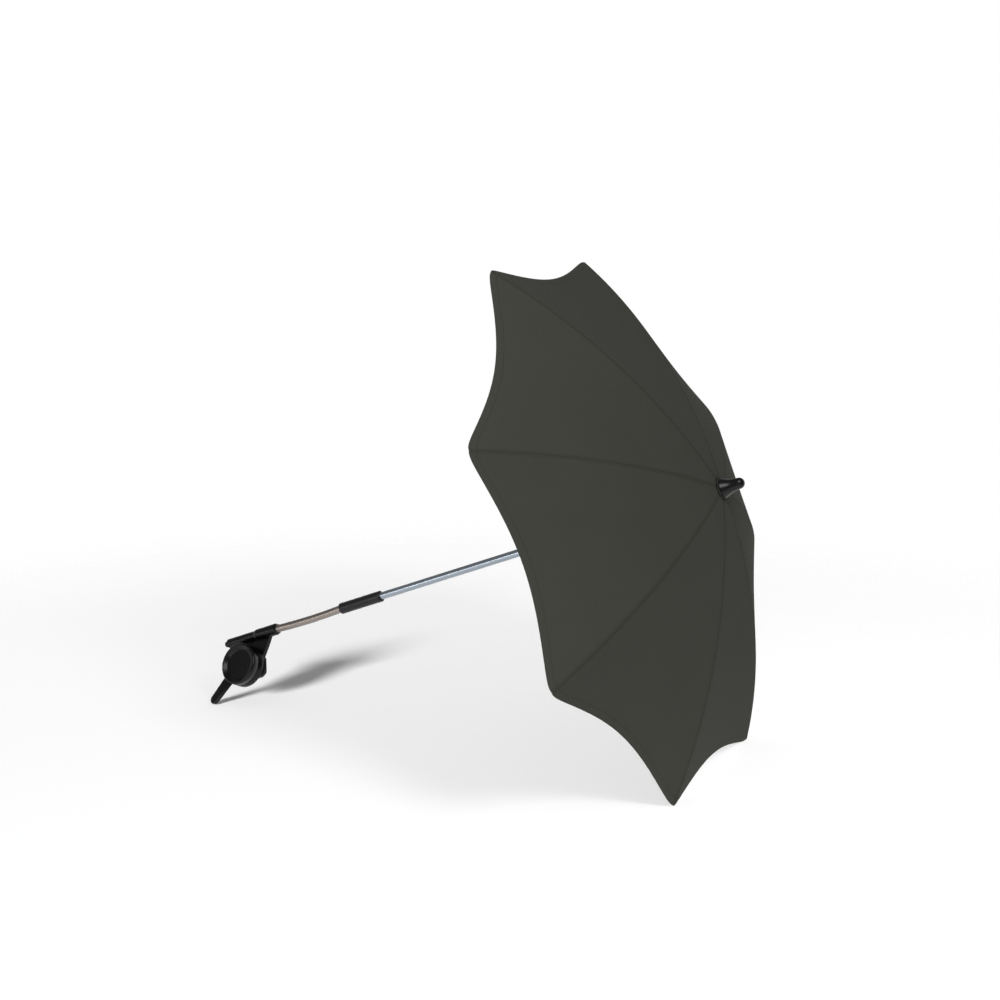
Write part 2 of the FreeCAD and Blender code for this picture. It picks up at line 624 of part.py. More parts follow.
def clamp_bracket():
    """The moulded body: a socket barrel for the neck, a plate and boss for the screw, and the hooked jaw."""
    collar, barrel = d.collar_diameter / 2, d.barrel_diameter / 2
    plug_bore, button_bore = d.plug_diameter / 2 + d.plug_play, d.button_bore / 2
    lip = d.button_diameter / 2 + d.button_play
    collar_foot = -d.collar_length
    body = turned("clamp_bracket", [
        (plug_bore, NIL), (d.collar_mouth / 2, NIL), (collar, -d.collar_bevel), (collar, collar_foot),
        (barrel, collar_foot - d.collar_bevel), (barrel, barrel_foot), (lip, barrel_foot), (lip, lip_top),
        (button_bore, lip_top), (button_bore, button_ceiling), (NIL, button_ceiling), (NIL, plug_foot),
        (plug_bore, plug_foot)])
    radius = d.plate_radius
    steep, flat = d.web_turn, d.heel_turn
    plate = new_sketch(body, "XZ_Plane", [[
        (plug_bore + d.fit, -d.web_start), (plug_bore + d.fit, lip_top),
        (d.screw_drop + radius * cosine(flat), screw_height - radius * sine(flat), radius),
        (d.screw_drop + radius, screw_height, radius),
        (d.screw_drop + radius * cosine(steep), screw_height + radius * sine(steep)),
        (d.web_knee_drop, -d.web_knee_back)]], offset=plate_back)
    slab(body, plate, d.plate_thickness)
    boss = new_sketch(body, "XZ_Plane", circles=[(d.screw_drop, screw_height, d.boss_diameter / 2)],
                      offset=d.plate_front)
    slab(body, boss, d.boss_front - d.plate_front)
    front, back = -d.plate_front, jaw_inner + d.jaw_thickness
    seat_front = seat_depth - chord_at(shell_radius, d.seat_dip)
    spine_foot = screw_height - shell_radius - d.spine_thickness
    bend = d.jaw_round
    hook = new_sketch(body, "YZ_Plane", [[
        (front, seat_foot), (front, spine_foot + bend, bend), (front + bend, spine_foot),
        (back - bend, spine_foot, bend), (back, spine_foot + bend),
        (back, jaw_tip - d.tip_round, d.tip_round), (back - d.tip_round, jaw_tip), (jaw_inner, jaw_tip),
        (jaw_inner, screw_height, -shell_radius), (seat_depth, screw_height - shell_radius, -shell_radius),
        (seat_front, seat_foot)]], offset=d.jaw_start)
    slab(body, hook, d.jaw_width)
    round_jaw_corner(body)
    half = d.pad_side / 2 + d.pad_play
    guide = new_sketch(body, "XZ_Plane", [rectangle(
        d.screw_drop - half, screw_height - half, d.screw_drop + half, screw_height + half)],
        offset=facing_face - d.facing_proud)
    cut(body, guide, d.boss_front - d.boss_wall - facing_face + d.facing_proud)
    hole = new_sketch(body, "XZ_Plane", circles=[
        (d.screw_drop, screw_height, d.screw_diameter / 2 + d.pad_play)], offset=plate_back)
    cut(body, hole, 2 * d.boss_front + d.plate_thickness)
    place_on_clamp(body)


def round_jaw_corner(body):
    """Round the jaw's lower corner at its tip, seen from the knob's side."""
    side, tip = d.jaw_start + d.jaw_width, jaw_tip
    bend, clear = d.corner_round, d.tip_round
    corner = new_sketch(body, "XZ_Plane", [[
        (side, tip - bend, bend), (side - bend, tip), (side - bend, tip + clear), (side + clear, tip + clear),
        (side + clear, tip - bend)]], offset=-(jaw_inner + d.jaw_thickness + d.fit))
    cut(body, corner, d.jaw_thickness + shell_radius)


def jaw_liner():
    """A rubber band that lines the hook's seat."""
    body = new_body("jaw_liner")
    inner = jaw_inner - d.liner_thickness
    top = jaw_tip - d.liner_inset
    dip = d.seat_dip - d.liner_inset
    foot = screw_height - dip
    profile = new_sketch(body, "YZ_Plane", [[
        (jaw_inner, top), (inner, top), (inner, screw_height, -seat_radius),
        (seat_depth, screw_height - seat_radius, -seat_radius),
        (seat_depth - chord_at(seat_radius, dip), foot),
        (seat_depth - chord_at(shell_radius, dip), foot, shell_radius),
        (seat_depth, screw_height - shell_radius, shell_radius), (jaw_inner, screw_height)]],
        offset=d.jaw_start + d.liner_inset)
    slab(body, profile, d.jaw_width - 2 * d.liner_inset)
    round_jaw_corner(body)
    place_on_clamp(body)


def on_screw(label, outline):
    """A body turned about the screw's axis from an outline of (radius, distance in front of the arm)."""
    body = turned(label, outline)
    axis = Placement(Vector(d.screw_drop.value, 0, screw_height.value), Rotation(Vector(1, 0, 0), 90))
    return body, axis


def clamp_knob():
    """A dished hand wheel with one long lever, which turns the screw."""
    radius, front = d.knob_diameter / 2, d.knob_front
    back = d.plate_front + d.knob_play
    dish, dish_floor = d.dish_diameter / 2, front - d.dish_depth
    inside, boss = radius - d.knob_wall, d.boss_diameter / 2 + 2 * d.hub_play
    ceiling = d.boss_front + d.hub_play
    web = ceiling + d.hub_play - d.boss_wall
    screw = d.screw_diameter / 2
    body, axis = on_screw("clamp_knob", [
        (NIL, ceiling + d.hub_grip), (screw, ceiling + d.hub_grip), (screw, ceiling), (boss, ceiling),
        (boss, web), (inside, web), (inside, back), (radius, back),
        (radius, front - d.knob_edge, d.knob_edge), (radius - d.knob_edge, front),
        (dish, front), (d.dish_floor_diameter / 2, dish_floor), (NIL, dish_floor)])
    root, tip = d.lever_width / 2, d.lever_tip_width / 2
    reach = d.lever_length - tip
    blade = new_sketch(body, "XY_Plane", [[
        (inside, -root), (reach, -tip, tip), (d.lever_length, NIL, tip), (reach, tip), (inside, root)]],
        offset=d.lever_front - d.lever_thickness)
    slab(body, blade, d.lever_thickness)
    turn_to_lever = Placement(Vector(), Rotation(Vector(0, 0, 1), d.lever_angle.value - 90))
    place(body, None, clamp_frame * axis * turn_to_lever)


def clamp_screw():
    """The screw is held in the boss by its flange, turns with the knob and drives the pad."""
    radius, flange = d.screw_diameter / 2, d.screw_flange / 2
    top = d.boss_front + d.hub_play + d.hub_grip
    flange_top = d.boss_front - d.boss_wall - d.fit
    foot = plate_back + d.facing_thickness + d.facing_proud
    body, axis = on_screw("clamp_screw", [
        (NIL, foot), (radius, foot), (radius, flange_top - d.screw_flange_height),
        (flange, flange_top - d.screw_flange_height), (flange, flange_top), (radius, flange_top),
        (radius, top), (NIL, top)])
    place(body, None, clamp_frame * axis)


def pressure_pad():
    """A square nut that slides in its guide along the screw, faced with rubber where it meets the tube."""
    half = d.pad_side / 2
    square = rectangle(d.screw_drop - half, screw_height - half, d.screw_drop + half, screw_height + half)
    pad_foot = facing_face + d.facing_thickness
    body = new_body("pressure_pad")
    slab(body, new_sketch(body, "XZ_Plane", [square], offset=pad_foot), d.pad_length)
    thread = (d.screw_drop, screw_height, d.screw_diameter / 2 + d.pad_play / 2)
    bore = new_sketch(body, "XZ_Plane", circles=[thread], offset=pad_foot + d.facing_proud / 2)
    cut(body, bore, d.pad_length)
    place_on_clamp(body)
    facing = new_body("pad_facing")
    slab(facing, new_sketch(facing, "XZ_Plane", [square], offset=facing_face), d.facing_thickness)
    place_on_clamp(facing)


def socket_pieces():
    """The neck's plug in the barrel, and the sprung button at the barrel's far end that releases it."""
    plug = d.plug_diameter / 2
    place_on_clamp(turned("neck_plug", [
        (NIL, plug_foot), (plug, plug_foot), (plug, NIL), (neck_radius, d.plug_reach), (NIL, d.plug_reach)]))
    head, stem = d.button_diameter / 2, d.button_stem / 2
    flange = d.button_bore / 2 - d.button_play
    button_foot = barrel_foot - d.button_reach
    flange_foot = lip_top + d.fit
    flange_top = flange_foot + d.button_flange
    stem_top = button_ceiling - d.button_travel - d.button_play
    edge = d.knob_edge
    place_on_clamp(turned("release_button", [
        (NIL, button_foot), (head - edge, button_foot, edge), (head, button_foot + edge), (head, flange_foot),
        (flange, flange_foot), (flange, flange_top), (stem, flange_top), (stem, stem_top), (NIL, stem_top)]))
    inner = stem + d.button_play
    place_on_clamp(turned("button_spring", tube(
        inner, inner + d.button_spring_wall, flange_top + d.fit, button_ceiling - d.fit)))


def lie_down():
    """Lay the parasol on two rib tips and the lever's end, with the middle of its underside at the origin."""
    resting = {thing.Label: thing.Shape for thing, placement in nodes}

    def lowest(label, lean):
        laid = resting[label].copy()
        laid.rotate(Vector(), Vector(0, 1, 0), 90 - lean)
        return laid.optimalBoundingBox(False, False).ZMin

    low, high = 1.0, 60.0
    while high - low > 1e-7:
        lean = (low + high) / 2
        if lowest("tip_cap_1", lean) < lowest("clamp_knob", lean):
            low = lean
        else:
            high = lean
    tilt = Placement(Vector(), Rotation(Vector(0, 1, 0), 90 - lean))
    box = FreeCAD.BoundBox()
    for shape in resting.values():
        laid = shape.copy()
        laid.Placement = tilt * laid.Placement
        box.add(laid.optimalBoundingBox(False, False))
    shift = Vector(-box.Center.x, -box.Center.y, -box.ZMin)
    print(f"lean {lean:.6f} shift {shift.x:.5f} {shift.y:.5f} {shift.z:.5f}")
    print(f"box {box.XLength:.3f} {box.YLength:.3f} {box.ZLength:.3f}")
    return Placement(shift, Rotation()) * tilt


def set_places(laid):
    for thing, placement in nodes:
        thing.Placement = laid * placement


def check():
    for thing in doc.Objects:
        if {"Invalid", "Error"} & set(thing.State):
            raise RuntimeError(f"{thing.Label} failed: {thing.State}")
    for thing, placement in nodes:
        if thing.Shape.isNull() or not thing.Shape.isValid() or not thing.Shape.Solids:
            raise RuntimeError(f"{thing.Label} has no valid solid")


canopy_frame()
pole()
runner()
catch()
neck()
clamp_bracket()
jaw_liner()
clamp_knob()
clamp_screw()
pressure_pad()
socket_pieces()
doc.recompute()
set_places(Placement())
doc.recompute()
set_places(lie_down())
doc.recompute()
check()
os.makedirs("parts", exist_ok=True)
for thing, placement in nodes:
    thing.Shape.exportStep(f"parts/{thing.Label}.step")
print(len(nodes), "nodes")
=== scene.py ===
import json
from math import asin, copysign, cos, exp, hypot, pi, radians, sin, sqrt, tan

import bmesh
import bpy
from bpy.props import FloatProperty, FloatVectorProperty, IntProperty, PointerProperty
from mathutils import Matrix, Vector


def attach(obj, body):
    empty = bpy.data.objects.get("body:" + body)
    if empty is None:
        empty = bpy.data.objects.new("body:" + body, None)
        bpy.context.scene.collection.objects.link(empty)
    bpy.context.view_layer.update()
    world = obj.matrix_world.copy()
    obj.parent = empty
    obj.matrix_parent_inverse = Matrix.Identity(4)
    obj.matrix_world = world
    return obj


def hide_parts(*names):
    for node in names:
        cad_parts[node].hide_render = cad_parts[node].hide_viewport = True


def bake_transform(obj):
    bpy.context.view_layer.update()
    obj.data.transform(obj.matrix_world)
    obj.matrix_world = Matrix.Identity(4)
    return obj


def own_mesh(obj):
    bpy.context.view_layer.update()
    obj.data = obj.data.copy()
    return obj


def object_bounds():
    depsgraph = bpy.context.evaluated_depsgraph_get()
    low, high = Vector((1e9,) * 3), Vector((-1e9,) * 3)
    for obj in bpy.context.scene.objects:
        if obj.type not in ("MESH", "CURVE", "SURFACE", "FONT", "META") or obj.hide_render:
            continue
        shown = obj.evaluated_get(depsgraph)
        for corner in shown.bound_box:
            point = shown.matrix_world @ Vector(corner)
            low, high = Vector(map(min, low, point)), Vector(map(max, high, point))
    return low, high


bl_info = {
    "name": "Pram parasol",
    "version": (1, 0, 0),
    "blender": (4, 5, 0),
    "location": "View3D > Sidebar > Parasol",
    "description": "Cloth, neck, clamp, finishes and studio for a clamp-on pram parasol",
    "category": "Object",
}

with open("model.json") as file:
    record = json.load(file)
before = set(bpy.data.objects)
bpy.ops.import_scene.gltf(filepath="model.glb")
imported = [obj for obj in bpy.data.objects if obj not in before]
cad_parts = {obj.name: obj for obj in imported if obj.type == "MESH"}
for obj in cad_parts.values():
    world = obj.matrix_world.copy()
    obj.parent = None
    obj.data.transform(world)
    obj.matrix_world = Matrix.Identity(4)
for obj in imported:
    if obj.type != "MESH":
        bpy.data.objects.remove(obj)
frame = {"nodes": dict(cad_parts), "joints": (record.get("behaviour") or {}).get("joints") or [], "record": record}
CAD_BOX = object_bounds()
NODES = frame["nodes"]
JOINTS = {joint["name"]: joint for joint in frame["joints"]}
MM = 0.001
RIBS = 8
PANEL = 2 * pi / RIBS
SAME_PLACE = 1e-6  # points closer than this become one


def linear(code):
    """Turn an sRGB hex colour into linear red, green and blue."""
    parts = [int(code[i:i + 2], 16) / 255 for i in (1, 3, 5)]
    return [p / 12.92 if p <= 0.04045 else ((p + 0.055) / 1.055) ** 2.4 for p in parts]


# The pole's own frame: Z up the tube, with the canopy's apex at the origin and X square to it, downwards.
fold_names = ["fold"] + [f"rib_{i}_fold" for i in range(2, RIBS + 1)]
crown_middle = sum((Vector(JOINTS[name]["pos_m"]) for name in fold_names), Vector()) / RIBS
pole_up = (crown_middle - Vector(JOINTS["neck_swing"]["pos_m"])).normalized()
pole_side = Vector((0, 1, 0))
pole_down = pole_side.cross(pole_up)
CROWN_DEPTH = 3 * MM
apex = crown_middle + pole_up * CROWN_DEPTH
POLE = Matrix((pole_down, pole_side, pole_up)).transposed().to_4x4()
POLE.translation = apex


def rib_turn(i):
    """The turn from the pole's frame to the plane of rib i, counted from 1."""
    return Matrix.Rotation(PANEL * (i - 0.5), 4, "Z")


# The clamp's own frame: Z up the arm, Y along the screw away from the knob's face.
screw_back = Vector(JOINTS["knob_turn"]["axis"])
screw_across = screw_back.cross(pole_up)
knob_middle = Vector(JOINTS["knob_turn"]["pos_m"])
knob_middle -= screw_back * (knob_middle - apex).dot(screw_back)


def knob_place():
    """From the knob's own frame, with X along the lever and Z out of its face, to the shared one."""
    turn = bpy.context.scene.parasol_clamp.lever_turn
    lever = screw_across * sin(turn) - pole_up * cos(turn)
    place = Matrix((lever, lever.cross(screw_back), -screw_back)).transposed().to_4x4()
    place.translation = knob_middle
    return place


def along_pole(point):
    """How far up the tube a point lies, from the apex."""
    return (Vector(point) - apex).dot(pole_up)


class CanopySizes(bpy.types.PropertyGroup):
    tip_radius: FloatProperty(
        name="Tip radius", description="From the tube's axis to a rib's end", default=348 * MM, unit="LENGTH")
    depth: FloatProperty(
        name="Depth", description="From the apex down to the rib ends", default=130 * MM, unit="LENGTH")
    rib_bend: FloatProperty(
        name="Rib bend", description="Turn of a rib's arc", default=radians(27.6), subtype="ANGLE")
    pivot_radius: FloatProperty(
        name="Pivot radius", description="From the tube's axis to a rib's pivot", default=8.5 * MM,
        unit="LENGTH")
    cloth_lift: FloatProperty(
        name="Cloth lift", description="Cloth's underside over the rib's middle line", default=2.1 * MM,
        unit="LENGTH")
    cloth: FloatProperty(
        name="Cloth", description="Thickness of the cloth", default=0.45 * MM, unit="LENGTH")
    eye: FloatProperty(
        name="Eye", description="Radius of the cloth's hole at the crown", default=12.6 * MM, unit="LENGTH")
    scallop: FloatProperty(
        name="Scallop", description="How far the hem draws in between two ribs", default=25 * MM,
        unit="LENGTH")
    sag: FloatProperty(
        name="Sag", description="How far a panel lies under the flat between its ribs", default=1 * MM,
        unit="LENGTH")
    hem: FloatProperty(
        name="Hem", description="Width of the stitched hem", default=11 * MM, unit="LENGTH")
    seam: FloatProperty(
        name="Seam", description="Half width of the felled seam along a rib", default=3.3 * MM, unit="LENGTH")
    tip_round: FloatProperty(
        name="Tip round", description="Half width of the rounded corner at a rib's tip", default=6.5 * MM,
        unit="LENGTH")
    tip_width: FloatProperty(
        name="Tip width", description="Diameter of the pocket's blunt end", default=6.4 * MM, unit="LENGTH")
    tip_reach: FloatProperty(
        name="Tip reach", description="From a rib's end to the cloth's corner", default=3.5 * MM,
        unit="LENGTH")
    pocket: FloatProperty(
        name="Pocket", description="Length of the pocket sewn over a rib's end", default=17 * MM,
        unit="LENGTH")
    folded_share: FloatProperty(
        name="Folded share", description="Width left of half a gore when the parasol is shut", default=0.025)


class FerruleSizes(bpy.types.PropertyGroup):
    foot: FloatProperty(
        name="Foot", description="Diameter of the foot on the cloth", default=24.4 * MM, unit="LENGTH")
    waist: FloatProperty(
        name="Waist", description="Diameter half way up", default=15.6 * MM, unit="LENGTH")
    head: FloatProperty(
        name="Head", description="Diameter where the round end starts", default=13.6 * MM, unit="LENGTH")
    length: FloatProperty(
        name="Length", description="From the cloth to the round end", default=28 * MM, unit="LENGTH")
    edge: FloatProperty(
        name="Edge", description="Height of the foot's edge", default=1.2 * MM, unit="LENGTH")
    disc: FloatProperty(
        name="Disc", description="Diameter of the cloth disc under the ferrule", default=27.4 * MM,
        unit="LENGTH")
    disc_rise: FloatProperty(
        name="Disc rise", description="Height of the cloth disc over the apex", default=0.6 * MM,
        unit="LENGTH")
    spigot: FloatProperty(
        name="Spigot", description="Diameter of the disc's hole, round the ferrule's spigot",
        default=8.4 * MM, unit="LENGTH")


class NeckSizes(bpy.types.PropertyGroup):
    diameter: FloatProperty(
        name="Diameter", description="Outside of the bendable neck", default=10.4 * MM, unit="LENGTH")
    pitch: FloatProperty(
        name="Pitch", description="From one turn of the neck's winding to the next", default=1.7 * MM,
        unit="LENGTH")
    groove: FloatProperty(
        name="Groove", description="Depth between two turns", default=0.12 * MM, unit="LENGTH")
    bow: FloatProperty(
        name="Bow", description="How far the neck's middle hangs under a straight line", default=1.4 * MM,
        unit="LENGTH")


class ClampSizes(bpy.types.PropertyGroup):
    spring_wire: FloatProperty(
        name="Spring wire", description="Diameter of the button spring's wire", default=0.7 * MM,
        unit="LENGTH")
    spring_turns: IntProperty(name="Spring turns", description="Turns of the button's spring", default=5)
    knob: FloatProperty(
        name="Knob", description="Diameter of the knob", default=58 * MM, unit="LENGTH")
    knob_front: FloatProperty(
        name="Knob front", description="From the arm's axis to the knob's rim", default=20 * MM,
        unit="LENGTH")
    knob_back: FloatProperty(
        name="Knob back", description="From the arm's axis to the knob's open side", default=-1.5 * MM,
        unit="LENGTH")
    knob_wall: FloatProperty(
        name="Knob wall", description="Thickness of the knob's skirt", default=2.5 * MM, unit="LENGTH")
    groove: FloatProperty(
        name="Groove", description="Height of the line round the knob's skirt", default=8.6 * MM,
        unit="LENGTH")
    dish: FloatProperty(
        name="Dish", description="Diameter of the dish at the rim", default=52 * MM, unit="LENGTH")
    dish_floor: FloatProperty(
        name="Dish floor", description="Diameter of the dish's flat floor", default=42 * MM, unit="LENGTH")
    dish_depth: FloatProperty(
        name="Dish depth", description="Depth of the dish under the rim", default=4 * MM, unit="LENGTH")
    lever: FloatProperty(
        name="Lever", description="From the knob's axis to the lever's end", default=68 * MM, unit="LENGTH")
    lever_root: FloatProperty(
        name="Lever root", description="Width of the lever at the knob", default=15 * MM, unit="LENGTH")
    lever_tip: FloatProperty(
        name="Lever tip", description="Width of the lever at its end", default=12.6 * MM, unit="LENGTH")
    lever_front: FloatProperty(
        name="Lever front", description="From the arm's axis to the lever's face", default=16.5 * MM,
        unit="LENGTH")
    lever_thick: FloatProperty(
        name="Lever thickness", description="Thickness of the lever", default=5.5 * MM, unit="LENGTH")
    lever_turn: FloatProperty(
        name="Lever turn", description="From straight down the arm to the lever", default=radians(39.9),
        subtype="ANGLE")


class FinishColours(bpy.types.PropertyGroup):
    canopy: FloatVectorProperty(
        name="Canopy", description="Woven cloth", default=linear("#42433d"), subtype="COLOR")
    thread: FloatVectorProperty(
        name="Thread", description="Seam and hem stitches", default=linear("#383932"), subtype="COLOR")
    plastic: FloatVectorProperty(
        name="Plastic", description="Moulded sleeve, crown and runner", default=linear("#121215"),
        subtype="COLOR")
    clamp: FloatVectorProperty(
        name="Clamp", description="Glossy moulded clamp", default=linear("#070708"), subtype="COLOR")
    ferrule: FloatVectorProperty(
        name="Ferrule", description="Glossy cap on the apex", default=linear("#060607"), subtype="COLOR")
    tube: FloatVectorProperty(
        name="Tube", description="Bright anodised tube", default=linear("#a2abb4"), subtype="COLOR")
    neck: FloatVectorProperty(
        name="Neck", description="Nickel-plated neck", default=linear("#978e88"), subtype="COLOR")
    enamel: FloatVectorProperty(
        name="Enamel", description="Enamelled ribs and stretchers", default=linear("#161617"),
        subtype="COLOR")
    steel: FloatVectorProperty(
        name="Steel", description="Bright wires, pins and springs", default=linear("#b8b9bb"),
        subtype="COLOR")
    rubber: FloatVectorProperty(
        name="Rubber", description="Jaw liner and pad facing", default=linear("#1b1b1b"), subtype="COLOR")
    floor: FloatVectorProperty(
        name="Floor", description="Studio floor", default=linear("#f2f2f2"), subtype="COLOR")


class StudioSizes(bpy.types.PropertyGroup):
    lens: FloatProperty(name="Lens", description="Focal length in millimetres", default=59.88)
    stand: FloatVectorProperty(
        name="Stand", description="Camera's place, from the apex", default=(0.6231, -1.8576, 0.3425),
        subtype="XYZ_LENGTH")
    aim: FloatVectorProperty(
        name="Aim", description="Way the camera looks", default=(-0.4354, 0.8819, -0.1805),
        subtype="DIRECTION")
    floor_clear: FloatProperty(
        name="Floor clear", description="Where the floor starts to fade", default=0.75, unit="LENGTH")
    floor_radius: FloatProperty(
        name="Floor radius", description="Where the floor has faded out", default=1.5, unit="LENGTH")
    overhead: FloatProperty(name="Overhead", description="Brightness of the sky overhead", default=0.25)
    room: FloatProperty(name="Room", description="Brightness of the room behind the camera", default=0.28)
    key_power: FloatProperty(name="Key power", description="Watts of the large soft box", default=37)
    strip_power: FloatProperty(name="Strip power", description="Watts of the low strip lamp", default=5)
    wash_power: FloatProperty(
        name="Wash power", description="Watts of the soft box over the floor", default=17)
    floor_power: FloatProperty(
        name="Floor power", description="Strength of the floor's low lamp", default=6.7)


def add_node(tree, kind, inputs=(), **settings):
    """Add one shader node with its settings, and set or link its inputs by name or number."""
    made = tree.nodes.new(f"ShaderNode{kind}")
    for name, value in settings.items():
        setattr(made, name, value)
    for socket, value in dict(inputs).items():
        if isinstance(value, bpy.types.NodeSocket):
            tree.links.new(value, made.inputs[socket])
        else:
            made.inputs[socket].default_value = value
    return made


def new_finish(name, colour, roughness, **constants):
    """A material with its shader's constant values, and the tree and shader to add detail to."""
    finish = bpy.data.materials.new(name)
    finish.use_nodes = True
    shader = finish.node_tree.nodes["Principled BSDF"]
    shader.inputs["Base Color"].default_value = (*colour, 1)
    shader.inputs["Roughness"].default_value = roughness
    for socket, value in constants.items():
        shader.inputs[socket.replace("_", " ")].default_value = value
    return finish, finish.node_tree, shader


def link(tree, source, shader, socket):
    tree.links.new(source, shader.inputs[socket])


def calc(tree, operation, *values):
    """The result of a maths node on these values and sockets."""
    return add_node(tree, "Math", dict(enumerate(values)), operation=operation).outputs[0]


def speckle(tree, size, detail=2.0):
    """Noise of about this grain size on the piece's own coordinates, in metres."""
    place = add_node(tree, "TexCoord")
    return add_node(tree, "TexNoise", {
        "Vector": place.outputs["Object"], "Scale": 1 / size, "Detail": detail, "Roughness": 0.55})


def mottle(tree, shader, colour, noise, amount):
    """Vary a colour a little, darker and lighter, by a noise."""
    dark = [c * (1 - amount) for c in colour]
    pale = [min(c * (1 + amount), 1) for c in colour]
    mixed = add_node(tree, "Mix", {0: noise.outputs["Fac"], 6: (*dark, 1), 7: (*pale, 1)}, data_type="RGBA")
    link(tree, mixed.outputs[2], shader, "Base Color")
    return mixed


def vary_roughness(tree, shader, noise, low, high):
    ranged = add_node(tree, "MapRange", {"Value": noise.outputs["Fac"], "To Min": low, "To Max": high})
    link(tree, ranged.outputs[0], shader, "Roughness")


def raise_grain(tree, shader, height, depth, strength):
    bump = add_node(tree, "Bump", {"Height": height, "Distance": depth, "Strength": strength})
    link(tree, bump.outputs[0], shader, "Normal")


def woven_polyester(colours):
    """Plain-woven polyester, dyed and matt: a fine over-and-under grain, and slightly darker thread along the
    sewn lines. The real threads are 0.3 mm apart, too fine to show, so the grain is drawn coarser."""
    thread_gap = 0.9 * MM
    stitch, stitch_share = 3.2 * MM, 0.72
    seam_row, hem_row, row_half = 2.3 * MM, 9 * MM, 0.45 * MM
    fell_half, sewn_dip = 0.8 * MM, -0.8
    finish, tree, shader = new_finish(
        "woven polyester", colours.canopy, roughness=0.9, Specular_IOR_Level=0.08)
    place = add_node(tree, "UVMap", uv_map="weave")
    count = (1 / thread_gap, 1 / thread_gap, 1)
    scaled = add_node(tree, "Mapping", {"Vector": place.outputs[0], "Scale": count})
    apart = add_node(tree, "SeparateXYZ", {0: scaled.outputs[0]})
    threads = []
    for axis in (0, 1):
        wave = calc(tree, "SINE", calc(tree, "MULTIPLY", apart.outputs[axis], pi))
        threads.append(calc(tree, "ABSOLUTE", wave))
    over = add_node(tree, "TexChecker", {"Vector": scaled.outputs[0], "Scale": 1.0})
    weave = add_node(tree, "Mix", {0: over.outputs["Fac"], 2: threads[0], 3: threads[1]})

    seam, hem, run = [
        add_node(tree, "Attribute", attribute_name=name).outputs["Fac"]
        for name in ("from_seam", "from_hem", "stitch_run")]
    dash = calc(tree, "LESS_THAN", calc(tree, "MODULO", run, stitch), stitch * stitch_share)
    beside_seam = calc(tree, "COMPARE", seam, seam_row, row_half)
    beside_hem = calc(tree, "COMPARE", hem, hem_row, row_half)
    stitches = calc(tree, "MULTIPLY", calc(tree, "MAXIMUM", beside_seam, beside_hem), dash)
    fell = calc(tree, "COMPARE", seam, 0.0, fell_half)
    sewn = calc(tree, "MAXIMUM", stitches, fell)

    cloud = speckle(tree, size=60 * MM, detail=3)
    dyed = mottle(tree, shader, colours.canopy, cloud, amount=0.05)
    shaded = add_node(tree, "Mix", {
        0: sewn, 6: dyed.outputs[2], 7: (*colours.thread, 1)}, data_type="RGBA")
    link(tree, shaded.outputs[2], shader, "Base Color")
    lowered = calc(tree, "MULTIPLY_ADD", sewn, sewn_dip, weave.outputs[0])
    raise_grain(tree, shader, lowered, depth=0.12 * MM, strength=0.5)
    return finish


def moulded_nylon(colours):
    """Black glass-filled nylon out of a spark-finished mould: an even, fine grain that breaks the gloss."""
    finish, tree, shader = new_finish(
        "moulded nylon", colours.plastic, roughness=0.36, Specular_IOR_Level=0.35)
    grain = speckle(tree, size=0.5 * MM)
    flow = speckle(tree, size=14 * MM)
    mottle(tree, shader, colours.plastic, flow, amount=0.08)
    vary_roughness(tree, shader, flow, low=0.28, high=0.42)
    raise_grain(tree, shader, grain.outputs["Fac"], depth=0.05 * MM, strength=0.5)
    return finish


def glossy_nylon(colours):
    """Black nylon from a smooth mould: deep black, with sharp lights on its edges and faint flow marks."""
    finish, tree, shader = new_finish("glossy nylon", colours.clamp, roughness=0.26, Specular_IOR_Level=0.25)
    flow = speckle(tree, size=14 * MM)
    grain = speckle(tree, size=0.8 * MM)
    mottle(tree, shader, colours.clamp, flow, amount=0.12)
    vary_roughness(tree, shader, flow, low=0.2, high=0.32)
    raise_grain(tree, shader, grain.outputs["Fac"], depth=0.03 * MM, strength=0.3)
    return finish


def polished_abs(colours):
    """Black ABS from a polished mould: glossy, with faint handling marks."""
    finish, tree, shader = new_finish("polished ABS", colours.ferrule, roughness=0.28, Specular_IOR_Level=0.3)
    marks = speckle(tree, size=5 * MM, detail=4)
    mottle(tree, shader, colours.ferrule, marks, amount=0.1)
    vary_roughness(tree, shader, marks, low=0.22, high=0.36)
    return finish


def bright_metal(name, colour, roughness, turn=None):
    """Drawn metal with faint lines along its draw, which are noise stretched along the turn's Z axis."""
    line_width, squeeze = 0.8 * MM, 0.02
    finish, tree, shader = new_finish(name, colour, roughness, Metallic=1.0)
    place = add_node(tree, "TexCoord")
    way = (turn or Matrix.Identity(3)).to_euler()
    turned = add_node(tree, "Mapping", {
        "Vector": place.outputs["Object"], "Rotation": way}, vector_type="TEXTURE")
    drawn = add_node(tree, "Mapping", {"Vector": turned.outputs[0], "Scale": (1, 1, squeeze)})
    lines = add_node(tree, "TexNoise", {
        "Vector": drawn.outputs[0], "Scale": 1 / line_width, "Detail": 3.0, "Roughness": 0.6})
    mottle(tree, shader, colour, lines, amount=0.07)
    vary_roughness(tree, shader, lines, low=roughness * 0.8, high=roughness * 1.3)
    return finish


def black_enamel(colours):
    """Stoved enamel on steel: smooth, with a slight orange peel."""
    finish, tree, shader = new_finish("black enamel", colours.enamel, roughness=0.35)
    peel = speckle(tree, size=2.5 * MM)
    mottle(tree, shader, colours.enamel, peel, amount=0.06)
    raise_grain(tree, shader, peel.outputs["Fac"], depth=0.03 * MM, strength=0.4)
    return finish


